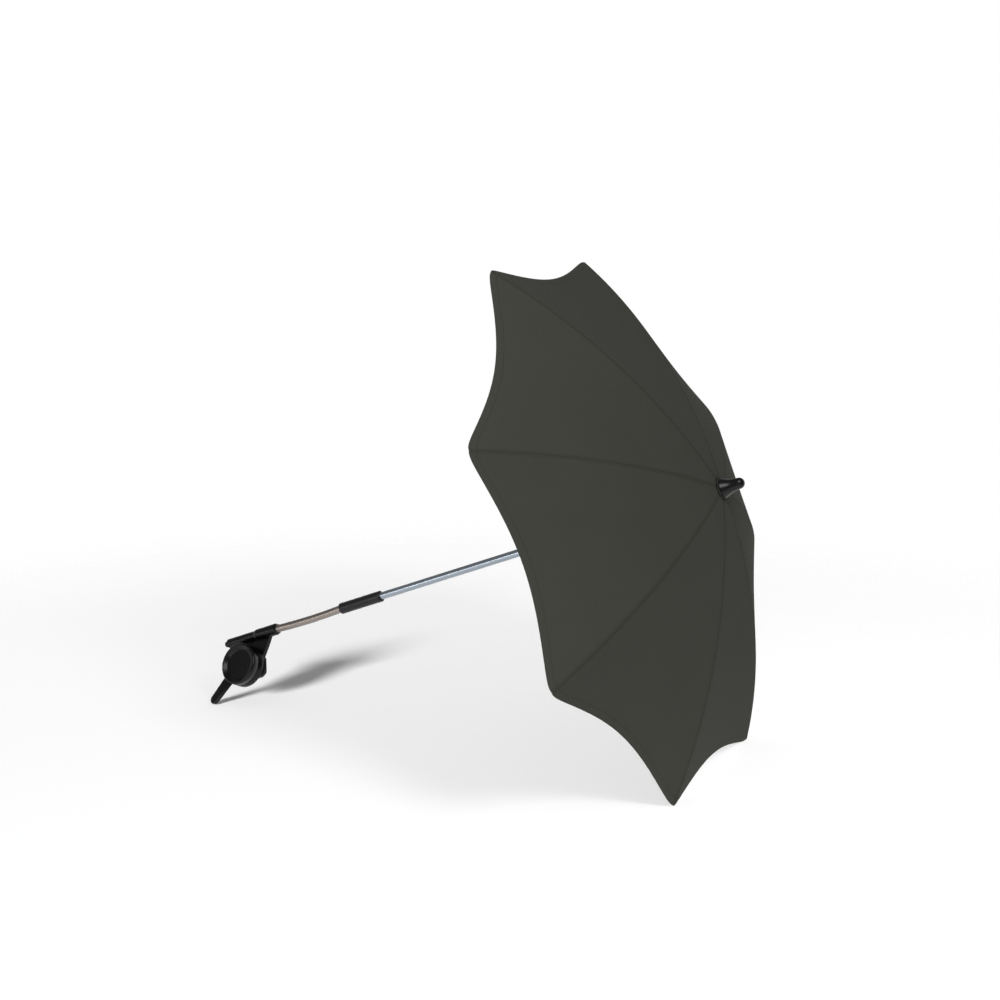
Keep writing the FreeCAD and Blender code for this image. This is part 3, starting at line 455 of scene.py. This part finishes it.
def matt_rubber(colours):
    """Moulded rubber: matt, dusty and faintly uneven."""
    finish, tree, shader = new_finish("matt rubber", colours.rubber, roughness=0.75, Specular_IOR_Level=0.3)
    dust = speckle(tree, size=4 * MM, detail=4)
    mottle(tree, shader, colours.rubber, dust, amount=0.18)
    vary_roughness(tree, shader, dust, low=0.65, high=0.85)
    return finish


def finishes():
    """The materials by the record's slot, and those of the clamp and ferrule, made once."""
    colours = bpy.context.scene.parasol_colours
    made = {
        "canopy_fabric": woven_polyester,
        "black_plastic": moulded_nylon,
        "clamp": glossy_nylon,
        "ferrule": polished_abs,
        "tube_metal": lambda c: bright_metal("anodised aluminium", c.tube, roughness=0.2, turn=POLE.to_3x3()),
        "neck_metal": lambda c: bright_metal("nickel plate", c.neck, roughness=0.26, turn=POLE.to_3x3()),
        "rib_metal": black_enamel,
        "wire_steel": lambda c: bright_metal("bright steel", c.steel, roughness=0.3),
        "grip_rubber": matt_rubber,
    }
    if not finishes.made:
        finishes.made.update({slot: make(colours) for slot, make in made.items()})
    return finishes.made


finishes.made = {}


def set_finish(piece, *materials):
    piece.data.materials.clear()
    for material in materials:
        piece.data.materials.append(material)


def new_piece(name, shape, finish, body=None):
    """Make an object of a bmesh that is already in place, smooth, with its finish."""
    mesh = bpy.data.meshes.new(name)
    for face in shape.faces:
        face.smooth = True
    shape.to_mesh(mesh)
    shape.free()
    piece = bpy.data.objects.new(name, mesh)
    bpy.context.scene.collection.objects.link(piece)
    set_finish(piece, finish)
    if body:
        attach(piece, body)
    return piece


def lathe(outline, steps, place):
    """Spin an outline of (radius, height) about the Z axis, then put it in place."""
    shape = bmesh.new()
    points = [shape.verts.new((r, 0, z)) for r, z in outline]
    edges = [shape.edges.new(pair) for pair in zip(points, points[1:])]
    bmesh.ops.spin(
        shape, geom=points + edges, cent=(0, 0, 0), axis=(0, 0, 1), angle=2 * pi, steps=steps, use_merge=True)
    bmesh.ops.remove_doubles(shape, verts=shape.verts, dist=SAME_PLACE)
    bmesh.ops.recalc_face_normals(shape, faces=shape.faces)
    bmesh.ops.transform(shape, matrix=place, verts=shape.verts)
    return shape


def plain_cloth(shape, place):
    """Give a small cloth piece the weave's coordinates, from the plane it lies in, and no seam or hem."""
    flat, far = place.inverted(), 1.0
    weave = shape.loops.layers.uv.new("weave")
    for face in shape.faces:
        for loop in face.loops:
            loop[weave].uv = (flat @ loop.vert.co).xy
    for name in ("from_seam", "from_hem"):
        layer = shape.verts.layers.float.new(name)
        for vert in shape.verts:
            vert[layer] = far


def rounded(corners, steps=5):
    """An outline of (radius, height) from corners, each with the radius that rounds it."""
    outline = []
    for k, (r, z, bend) in enumerate(corners):
        here = Vector((r, z))
        if not bend or k in (0, len(corners) - 1):
            outline.append(here)
            continue
        back = (Vector(corners[k - 1][:2]) - here).normalized()
        on = (Vector(corners[k + 1][:2]) - here).normalized()
        half = back.angle(on) / 2
        centre = here + (back + on).normalized() * bend / sin(half)
        first = (here + back * bend / tan(half) - centre).normalized()
        last = (here + on * bend / tan(half) - centre).normalized()
        outline += [centre + first.slerp(last, n / steps) * bend for n in range(steps + 1)]
    return [(point.x, point.y) for point in outline]


class RibLine:
    """The arc of a rib in its own plane, as distances out from the tube and up from the apex."""

    def __init__(self, sizes):
        run = sizes.tip_radius - sizes.pivot_radius
        fall = sizes.depth - CROWN_DEPTH
        chord = hypot(run, fall)
        self.radius = chord / 2 / sin(sizes.rib_bend / 2)
        self.start = asin(fall / chord) - sizes.rib_bend / 2
        self.stop = self.start + sizes.rib_bend
        self.centre = (sizes.pivot_radius - self.radius * sin(self.start),
                       -CROWN_DEPTH - self.radius * cos(self.start))

    def point(self, turn, lift=0.0):
        """The point at this turn from straight up, lifted off the rib's middle line."""
        reach = self.radius + lift
        return self.centre[0] + reach * sin(turn), self.centre[1] + reach * cos(turn)

    def turn_at(self, out, lift):
        return asin((out - self.centre[0]) / (self.radius + lift))


SEAM = 0.05  # share of the cloth's grid, on each side of a rib, that lies on the seam


class ClothForm:
    """The stretched cloth over one rib, from the middle of one panel to the middle of the next."""
    TRIES = 8  # steps that close in on the seam's angle

    def __init__(self, sizes):
        self.sizes = sizes
        self.line = RibLine(sizes)
        lift = sizes.cloth_lift
        self.half = sizes.tip_radius * sin(PANEL / 2)
        slope = tan(PANEL / 2) + 2 * sizes.scallop / self.half
        self.cut = slope * sizes.tip_round
        self.eye = self.line.point(self.line.turn_at(sizes.eye, lift), lift)
        self.end = self.line.point(self.line.stop + (sizes.tip_reach + self.cut) / self.line.radius, lift)
        self.chord = hypot(self.end[0] - self.eye[0], self.end[1] - self.eye[1])
        reach = self.line.radius + lift
        self.rise = reach - sqrt(reach ** 2 - self.chord ** 2 / 4)
        self.seam_angles = {}

    def at(self, angle, along):
        """A point of the underside in the plane at this angle from the rib, along from the eye to the hem,
        with the cloth's length in that plane and the point's way down it."""
        sizes, middle = self.sizes, PANEL / 2
        share = 1 - (1 - angle / middle) ** 2
        pull = cos(middle) / cos(middle - angle)
        start = Vector((self.eye[0] * pull, 0, self.eye[1]))
        run = Vector((self.end[0] * pull, 0, self.end[1])) - start
        chord = run.length - share * sizes.scallop
        hem = chord - self.cut * exp(-self.end[0] * pull * tan(angle) / sizes.tip_round)
        way = run.normalized()
        up = Vector((-way.z, 0, way.x))
        bulge = self.rise - share * sizes.sag
        radius = chord ** 2 / 8 / bulge + bulge / 2
        reach = along * hem
        offset = reach - chord / 2
        height = sqrt(radius ** 2 - offset ** 2) - (radius - bulge)
        return start + way * reach + up * height, hem, reach

    def seam_angle(self, along):
        """The angle of the seam's edge, which runs beside the rib at an even distance from its plane."""
        if along not in self.seam_angles:
            angle = 0.0
            for _ in range(self.TRIES):
                angle = asin(self.sizes.seam / self.at(angle, along)[0].x)
            self.seam_angles[along] = angle
        return self.seam_angles[along]

    def point(self, across, along):
        """A point of the underside, across from -1 to 1, with the seam between -SEAM and SEAM. It also gives
        the distances from the rib's plane and from the hem, and the way down the cloth."""
        part, beside = abs(across), self.seam_angle(along)
        angle = beside * min(part / SEAM, 1) + (PANEL / 2 - beside) * max(part - SEAM, 0) / (1 - SEAM)
        place, hem, reach = self.at(angle, along)
        turned = Matrix.Rotation(copysign(angle, across), 3, "Z") @ place
        return turned, place.x * sin(angle), hem - reach, reach


def spread(near, steps):
    """Shares from 0 to 1: the given ones close to 0, then even steps."""
    last = near[-1]
    return [*near, *(last + (1 - last) * k / steps for k in range(1, steps + 1))]


class PARASOL_OT_canopy(bpy.types.Operator):
    """Lay the cloth over the ribs, sewn along them, with a stitched hem and a pocket on each tip"""
    bl_idname = "parasol.canopy"
    bl_label = "Canopy cloth"
    COLUMNS, ROWS, POCKET_STEPS = 20, 80, 32
    CORNER = (0.9, 1.3, 1.8, 2.4, 3.2)  # columns by the rounded corner, in times its half width
    GRID_DIGITS = 5  # enough to tell the grid's columns and rows apart

    def execute(self, context):
        sizes = context.scene.parasol_canopy
        form = ClothForm(sizes)
        half, step = form.half, 0.8 * MM
        close = (sizes.seam, sizes.seam + step, *(n * sizes.tip_round for n in self.CORNER))
        near = spread([(n - sizes.seam) / half for n in close], self.COLUMNS)
        right = [SEAM + (1 - SEAM) * n for n in near]
        left = [-n for n in reversed(right)]
        edge = spread([n / form.chord for n in (
            0, step / 2, 2 * step, sizes.hem - step, sizes.hem, sizes.hem + step)], self.ROWS)
        rows = [1 - e for e in reversed(edge)]
        over = [-SEAM, -SEAM / 2, 0, SEAM / 2, SEAM]
        for i in range(1, RIBS + 1):
            seam = self.strip(form, over, rows, i, f"canopy_seam_{i}")
            pocket = self.pocket(form, i)
            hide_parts(f"tip_cap_{i}")
            for side, columns, more in (("left", left, []), ("right", right, [seam, pocket])):
                cloth = self.strip(form, columns, rows, i, f"canopy_cloth_{i}_{side}")
                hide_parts(f"canopy_gore_{i}")
                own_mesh(cloth)
        return {"FINISHED"}

    def strip(self, form, columns, rows, i, name):
        """The seam over a rib, or half a panel beside it, as a sheet of one thickness. Its sides stay sharp,
        so that the shade runs on over them from strip to strip."""
        sizes, inside = form.sizes, 1e-4
        shape = bmesh.new()
        bmesh.ops.create_grid(shape, x_segments=len(columns) - 1, y_segments=len(rows) - 1, size=1.0)
        weave = shape.loops.layers.uv.new("weave")
        names = ("across", "from_seam", "from_hem", "stitch_run", "reach")
        layers = {key: shape.verts.layers.float.new(key) for key in names}
        spots = [[round(c, self.GRID_DIGITS) for c in vert.co.xy] for vert in shape.verts]
        grid_x = dict(zip(sorted({x for x, y in spots}), columns))
        grid_y = dict(zip(sorted({y for x, y in spots}), rows))
        for vert, (x, y) in zip(shape.verts, spots):
            vert.co, from_seam, from_hem, reach = form.point(grid_x[x], grid_y[y])
            beside = from_hem < sizes.hem and from_seam > 2 * sizes.seam
            run = from_seam if beside else reach
            for key, value in zip(names, (grid_x[x], from_seam, from_hem, run, reach)):
                vert[layers[key]] = value
        slope = sin(PANEL / 2)
        for face in shape.faces:
            side = 1 if face.calc_center_median().y > 0 else -1
            for loop in face.loops:
                reach = loop.vert[layers["reach"]]
                loop[weave].uv = (side * (reach * slope - loop.vert[layers["from_seam"]]), reach)
        bmesh.ops.recalc_face_normals(shape, faces=shape.faces)
        if shape.faces[0].normal.z < 0:
            bmesh.ops.reverse_faces(shape, faces=shape.faces)
        shape.normal_update()
        upper = bmesh.ops.extrude_face_region(shape, geom=list(shape.faces), use_keep_orig=True)["geom"]
        raised = [item for item in upper if isinstance(item, bmesh.types.BMVert)]
        for vert in raised:
            vert.co += vert.normal * sizes.cloth
        bmesh.ops.recalc_face_normals(shape, faces=shape.faces)
        for edge in shape.edges:
            shares = [vert[layers["across"]] for vert in edge.verts]
            edge.smooth = any(columns[0] + inside < share < columns[-1] - inside for share in shares)
        bmesh.ops.transform(shape, matrix=POLE @ rib_turn(i), verts=shape.verts)
        return new_piece(name, shape, finishes()["canopy_fabric"], f"rib_{i}")

    def pocket(self, form, i):
        """A cloth thimble under the gore's corner, flush with its outer side and closed at the tip."""
        sizes, line = form.sizes, form.line
        radius, edge = sizes.tip_width / 2, 2.2 * MM
        head = sizes.tip_reach - sizes.cloth_lift
        foot = head - sizes.pocket
        shape = lathe(rounded([
            (radius - 2 * sizes.cloth, foot, 0), (radius - sizes.cloth, foot, 0), (radius, head, edge),
            (0, head, 0)]), self.POCKET_STEPS, Matrix.Identity(4))
        end = line.point(line.stop, sizes.cloth_lift - radius)
        out = Vector((cos(line.stop), 0, -sin(line.stop)))
        up = Vector((sin(line.stop), 0, cos(line.stop)))
        for vert in shape.verts:
            across, height, length = vert.co
            vert.co = Vector((end[0], across, end[1])) + out * length + up * height
        bmesh.ops.recalc_face_normals(shape, faces=shape.faces)
        place = POLE @ rib_turn(i)
        bmesh.ops.transform(shape, matrix=place, verts=shape.verts)
        plain_cloth(shape, place)
        return new_piece(f"tip_pocket_{i}", shape, finishes()["canopy_fabric"], f"rib_{i}")


class PARASOL_OT_ferrule(bpy.types.Operator):
    """Turn the ferrule, and cut the cloth disc that it holds down"""
    bl_idname = "parasol.ferrule"
    bl_label = "Ferrule"
    STEPS, DOME = 64, 10  # round the turning, and up its round end
    FOOT_ROUND, EDGE_ROUND, RIM_ROUND, UNDER_ROUND = 0.3 * MM, 0.5 * MM, 0.3 * MM, 0.1 * MM

    def execute(self, context):
        sizes = context.scene.parasol_ferrule
        foot, waist, head = sizes.foot / 2, sizes.waist / 2, sizes.head / 2
        low, high = sizes.disc_rise, sizes.disc_rise + sizes.length
        flare = (high - head - low - sizes.edge) / 2
        turns = [pi / 2 * k / self.DOME for k in range(1, self.DOME)]
        dome = [(head * cos(turn), high - head + head * sin(turn), 0) for turn in turns]
        shape = lathe(rounded([
            (0, low, 0), (foot, low, self.FOOT_ROUND), (foot, low + sizes.edge, self.EDGE_ROUND),
            (waist, low + sizes.edge + flare, 3 * flare), (head, high - head, 0), *dome, (0, high, 0)],
            steps=8), self.STEPS, POLE)
        ferrule = new_piece("ferrule_turning", shape, finishes()["ferrule"], "pole")
        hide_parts("ferrule")

        hole, rim = sizes.spigot / 2, sizes.disc / 2
        shape = lathe(rounded([
            (hole, 0, 0), (rim, 0, self.UNDER_ROUND), (rim, low, self.RIM_ROUND), (hole, low, 0),
            (hole, 0, 0)]), self.STEPS, POLE)
        plain_cloth(shape, POLE)
        disc = new_piece("canopy_top_disc", shape, finishes()["canopy_fabric"], "pole")
        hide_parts("canopy_top")
        return {"FINISHED"}


class PARASOL_OT_neck(bpy.types.Operator):
    """Wind the bendable neck in its three lengths, slightly bowed"""
    bl_idname = "parasol.neck"
    bl_label = "Bendable neck"
    STEPS = 40
    TURN = ((0, 1.0), (0.18, 0.25), (0.5, 0.0), (0.82, 0.25))  # shares of the pitch and of the groove's depth

    def execute(self, context):
        sizes = context.scene.parasol_neck
        ends = {name: self.span(name) for name in ("neck_lower", "neck_middle", "neck_upper")}
        foot, head = ends["neck_lower"][0], ends["neck_upper"][1]
        for name, (low, high) in ends.items():
            shape = self.wound(sizes, low, high, foot, head)
            piece = new_piece(f"{name}_winding", shape, finishes()["neck_metal"])
            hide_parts(name)
            if name == "neck_middle":
                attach(piece, "neck_link")
                continue
            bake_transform(piece)
        return {"FINISHED"}

    def span(self, node):
        """The foot and head of a length of neck, along the pole."""
        heights = [along_pole(v.co) for v in NODES[node].data.vertices]
        return min(heights), max(heights)

    def wound(self, sizes, low, high, foot, head):
        """A length of winding from low to high, on the bow between the neck's foot and head."""
        turns = max(1, round((high - low) / sizes.pitch))
        pitch = (high - low) / turns
        radius = sizes.diameter / 2
        outline = []
        for k in range(turns):
            for share, drop in self.TURN:
                outline.append((radius - drop * sizes.groove, low + (k + share) * pitch))
        outline.append((radius - sizes.groove, high))
        shape = lathe(outline, self.STEPS, Matrix.Identity(4))
        for vert in shape.verts:
            share = (vert.co.z - foot) / (head - foot)
            vert.co.x += sizes.bow * 4 * share * (1 - share)
        bmesh.ops.transform(shape, matrix=POLE, verts=shape.verts)
        return shape


class PARASOL_OT_knob(bpy.types.Operator):
    """Turn the dished knob and press its lever, with rounded edges"""
    bl_idname = "parasol.knob"
    bl_label = "Clamp knob"
    STEPS, ARC = 96, 12  # round the knob, and round the lever's end
    BACK_ROUND, RIM_ROUND, LIP_ROUND = 0.8 * MM, 2.2 * MM, 1.1 * MM
    FLOOR_ROUND, LEVER_ROUND = 3 * MM, 1.3 * MM
    LINE_DEPTH, LINE_SLOPE, LINE_WIDTH = 0.5 * MM, 0.4 * MM, 1.4 * MM

    def execute(self, context):
        sizes = context.scene.parasol_clamp
        radius, front, floor = sizes.knob / 2, sizes.knob_front, sizes.knob_front - sizes.dish_depth
        low, high, inner = sizes.groove, sizes.groove + self.LINE_WIDTH, radius - self.LINE_DEPTH
        shape = lathe(rounded([
            (radius - sizes.knob_wall, sizes.knob_back, 0), (radius, sizes.knob_back, self.BACK_ROUND),
            (radius, low, 0), (inner, low + self.LINE_SLOPE, 0), (inner, high - self.LINE_SLOPE, 0),
            (radius, high, 0), (radius, front, self.RIM_ROUND), (sizes.dish / 2, front, self.LIP_ROUND),
            (sizes.dish_floor / 2, floor, self.FLOOR_ROUND), (0, floor, 0)]), self.STEPS, Matrix.Identity(4))
        self.lever(shape, sizes)
        bmesh.ops.transform(shape, matrix=knob_place(), verts=shape.verts)
        knob = new_piece("knob_and_lever", shape, finishes()["clamp"], "knob")
        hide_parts("clamp_knob")
        return {"FINISHED"}

    def lever(self, shape, sizes):
        """A flat blade with a rounded end and rounded edges, out of the knob's side."""
        root, tip = sizes.lever_root / 2, sizes.lever_tip / 2
        start, reach = sizes.knob / 2 - 2 * sizes.knob_wall, sizes.lever - tip
        corners = [(start, -root)]
        turns = [pi * k / self.ARC for k in range(self.ARC + 1)]
        corners += [(reach + tip * sin(turn), -tip * cos(turn)) for turn in turns]
        corners += [(start, root)]
        foot = sizes.lever_front - sizes.lever_thick
        blade = shape.faces.new([shape.verts.new((x, y, foot)) for x, y in corners])
        made = bmesh.ops.extrude_face_region(shape, geom=[blade], use_keep_orig=True)["geom"]
        raised = [item for item in made if isinstance(item, bmesh.types.BMVert)]
        bmesh.ops.translate(shape, verts=raised, vec=(0, 0, sizes.lever_thick))
        walls = {face for vert in raised for face in vert.link_faces} | {blade}
        bmesh.ops.recalc_face_normals(shape, faces=list(walls))
        rims = {edge for face in walls if len(face.verts) > 4 for edge in face.edges}
        bmesh.ops.bevel(
            shape, geom=list(rims), offset=self.LEVER_ROUND, offset_type="OFFSET", affect="EDGES", segments=3,
            profile=0.5, material=-1)


class PARASOL_OT_spring(bpy.types.Operator):
    """Wind the release button's spring in one length, though the real one shortens as the button goes in"""
    bl_idname = "parasol.spring"
    bl_label = "Button spring"
    WIRE_SIDES, TURN_STEPS = 10, 24

    def execute(self, context):
        sizes = context.scene.parasol_clamp
        joint = JOINTS["button_press"]
        press = Vector(joint["axis"])
        points = [vert.co for vert in NODES["button_spring"].data.vertices]
        middle = sum(points, Vector()) / len(points)
        heights = [(point - middle).dot(press) for point in points]
        outside = max((point - middle - press * height).length for point, height in zip(points, heights))
        wire, length = sizes.spring_wire / 2, max(heights) - min(heights)
        place = press.to_track_quat("Z", "Y").to_matrix().to_4x4()
        place.translation = middle + press * min(heights)
        shape = bmesh.new()
        ring = Matrix.Translation((outside - wire, 0, wire)) @ Matrix.Rotation(pi / 2, 4, "X")
        bmesh.ops.create_circle(shape, segments=self.WIRE_SIDES, radius=wire, matrix=ring)
        steps = self.TURN_STEPS * sizes.spring_turns
        bmesh.ops.spin(
            shape, geom=shape.verts[:] + shape.edges[:], cent=(0, 0, 0), axis=(0, 0, 1),
            dvec=(0, 0, (length - 2 * wire) / steps), angle=2 * pi * sizes.spring_turns, steps=steps)
        bmesh.ops.holes_fill(shape, edges=[edge for edge in shape.edges if edge.is_boundary])
        bmesh.ops.recalc_face_normals(shape, faces=shape.faces)
        bmesh.ops.transform(shape, matrix=place, verts=shape.verts)
        coil = new_piece("button_spring_coil", shape, finishes()["wire_steel"], "clamp")
        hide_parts("button_spring")
        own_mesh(coil)
        return {"FINISHED"}


class PARASOL_OT_nodes(bpy.types.Operator):
    """Give every other built piece its finish"""
    bl_idname = "parasol.nodes"
    bl_label = "Finishes of the built pieces"
    CLAMP = ("clamp_bracket", "release_button", "pressure_pad")

    def execute(self, context):
        slots = {part["node"]: part["material_slot"] for part in frame["record"]["subparts"]}
        for name, node in NODES.items():
            if node.hide_render:
                continue
            finish = "clamp" if name in self.CLAMP else slots[name]
            set_finish(node, finishes()[finish])
        return {"FINISHED"}


class PARASOL_OT_stage(bpy.types.Operator):
    """Set up the camera, floor, soft lamps and sky"""
    bl_idname = "parasol.stage"
    bl_label = "Studio"
    # Each lamp's name, place from the object's middle, sides, the property with its power, and whether it
    # leaves out the floor or lights only the floor.
    LAMPS = (
        ("soft box", (0.8, -1.5, 1.7), (1.4, 1.4), "key_power", "EXCLUDE"),
        ("strip lamp", (-0.75, -1.45, -0.1), (1.6, 0.16), "strip_power", "EXCLUDE"),
        ("floor soft box", (1.75, -0.95, 1.3), (0.6, 0.6), "wash_power", "INCLUDE"),
    )
    LOW_LIGHT, LOW_WIDTH = (0.05, 0.94, -0.33), radians(13)
    FLOOR_SIDES = 96
    # Bounds between which the sky's shade turns: by height, over the room and the horizon, and by way ahead.
    ROOM_TOP, HORIZON_TOP, AHEAD = (0.8, 0.97), (0.13, 0.42), (-0.1, 0.5)

    def execute(self, context):
        sizes = context.scene.parasol_studio
        scene = context.scene
        scene.view_settings.view_transform = "Standard"
        self.camera(scene, sizes)
        floor = self.floor(scene, sizes)
        self.sky(scene, sizes)
        middle = (CAD_BOX[0] + CAD_BOX[1]) / 2
        for name, away, sides, power, floor_state in self.LAMPS:
            place = middle + Vector(away)
            self.soft_box(scene, floor, name, place, middle, sides, getattr(sizes, power), floor_state)
        self.floor_lamp(scene, floor, sizes)
        return {"FINISHED"}

    def camera(self, scene, sizes):
        data = bpy.data.cameras.new("camera")
        data.lens = sizes.lens
        camera = bpy.data.objects.new("camera", data)
        scene.collection.objects.link(camera)
        camera.location = apex + Vector(sizes.stand)
        camera.rotation_euler = Vector(sizes.aim).to_track_quat("-Z", "Y").to_euler()
        scene.camera = camera

    def floor(self, scene, sizes):
        """A pale floor that fades out into the sky with distance."""
        shape = bmesh.new()
        bmesh.ops.create_circle(shape, cap_ends=True, segments=self.FLOOR_SIDES, radius=sizes.floor_radius)
        mesh = bpy.data.meshes.new("floor")
        shape.to_mesh(mesh)
        shape.free()
        floor = bpy.data.objects.new("floor", mesh)
        scene.collection.objects.link(floor)
        colour = scene.parasol_colours.floor
        finish, tree, shader = new_finish("studio floor", colour, roughness=0.9, Specular_IOR_Level=0.1)
        place = add_node(tree, "TexCoord")
        reach = add_node(tree, "VectorMath", {0: place.outputs["Object"]}, operation="LENGTH")
        fade = add_node(tree, "MapRange", {
            "Value": reach.outputs["Value"], "From Min": sizes.floor_clear, "From Max": sizes.floor_radius,
            "To Min": 1.0, "To Max": 0.0}, interpolation_type="SMOOTHSTEP")
        link(tree, fade.outputs[0], shader, "Alpha")
        set_finish(floor, finish)
        return floor

    def sky(self, scene, sizes):
        """White behind the object, grey overhead and behind the camera, so that bright metal and black
        plastic have dark sides as well as bright ones."""
        world = bpy.data.worlds.new("sky")
        scene.world = world
        world.use_nodes = True
        tree = world.node_tree
        place = add_node(tree, "TexCoord")
        height = add_node(tree, "SeparateXYZ", {0: place.outputs["Generated"]})
        shades = []
        for (low, high), level in ((self.ROOM_TOP, sizes.room), (self.HORIZON_TOP, 1.0)):
            shades.append(add_node(tree, "MapRange", {
                "Value": height.outputs["Z"], "From Min": low, "From Max": high, "To Min": level,
                "To Max": sizes.overhead}, interpolation_type="SMOOTHSTEP"))
        ahead = add_node(tree, "VectorMath", {
            0: place.outputs["Generated"], 1: (*sizes.aim[:2], 0)}, operation="DOT_PRODUCT")
        behind = add_node(tree, "MapRange", {
            "Value": ahead.outputs["Value"], "From Min": self.AHEAD[0], "From Max": self.AHEAD[1]},
            interpolation_type="SMOOTHSTEP")
        level = add_node(tree, "Mix", {
            0: behind.outputs[0], 2: shades[0].outputs[0], 3: shades[1].outputs[0]})
        link(tree, level.outputs[0], tree.nodes["Background"], "Color")

    def soft_box(self, scene, floor, name, place, target, sides, power, floor_state):
        """A lamp on the object alone, so that it doesn't wash the shadows off the floor, or on the floor
        alone."""
        data = bpy.data.lights.new(name, "AREA")
        data.shape = "RECTANGLE"
        data.size, data.size_y = sides
        data.energy = power
        lamp = bpy.data.objects.new(name, data)
        scene.collection.objects.link(lamp)
        lamp.location = place
        lamp.rotation_euler = (target - place).to_track_quat("-Z", "Y").to_euler()
        lit = bpy.data.collections.new(f"floor under the {name}")
        lit.objects.link(floor)
        lit.collection_objects[0].light_linking.link_state = floor_state
        lamp.light_linking.receiver_collection = lit

    def floor_lamp(self, scene, floor, sizes):
        """A low lamp on the floor alone, in which only the clamp throws a shadow."""
        data = bpy.data.lights.new("floor lamp", "SUN")
        data.energy = sizes.floor_power
        data.angle = self.LOW_WIDTH
        lamp = bpy.data.objects.new("floor lamp", data)
        scene.collection.objects.link(lamp)
        lamp.rotation_euler = Vector(self.LOW_LIGHT).to_track_quat("-Z", "Y").to_euler()
        lit = bpy.data.collections.new("lit by the floor lamp")
        lit.objects.link(floor)
        lamp.light_linking.receiver_collection = lit
        shading = bpy.data.collections.new("shading the floor lamp")
        for name in ("clamp_bracket", "knob_and_lever", "jaw_liner", "release_button"):
            shading.objects.link(bpy.data.objects[name])
        lamp.light_linking.blocker_collection = shading


class PARASOL_PT_panel(bpy.types.Panel):
    """Rebuild the parasol's looks, piece by piece"""
    bl_label = "Pram parasol"
    bl_idname = "PARASOL_PT_panel"
    bl_space_type = "VIEW_3D"
    bl_region_type = "UI"
    bl_category = "Parasol"

    def draw(self, context):
        for operator in OPERATORS:
            self.layout.operator(operator.bl_idname)


OPERATORS = (
    PARASOL_OT_canopy, PARASOL_OT_ferrule, PARASOL_OT_neck, PARASOL_OT_knob, PARASOL_OT_spring,
    PARASOL_OT_nodes, PARASOL_OT_stage)
GROUPS = {
    "parasol_canopy": CanopySizes,
    "parasol_ferrule": FerruleSizes,
    "parasol_neck": NeckSizes,
    "parasol_clamp": ClampSizes,
    "parasol_colours": FinishColours,
    "parasol_studio": StudioSizes,
}
CLASSES = (*GROUPS.values(), *OPERATORS, PARASOL_PT_panel)


def register():
    for item in CLASSES:
        bpy.utils.register_class(item)
    for name, group in GROUPS.items():
        setattr(bpy.types.Scene, name, PointerProperty(type=group))


def unregister():
    for name in GROUPS:
        delattr(bpy.types.Scene, name)
    for item in reversed(CLASSES):
        bpy.utils.unregister_class(item)


def main():
    register()
    for operator in OPERATORS:
        group, name = operator.bl_idname.split(".")
        getattr(getattr(bpy.ops, group), name)()


if __name__ == "__main__":
    main()
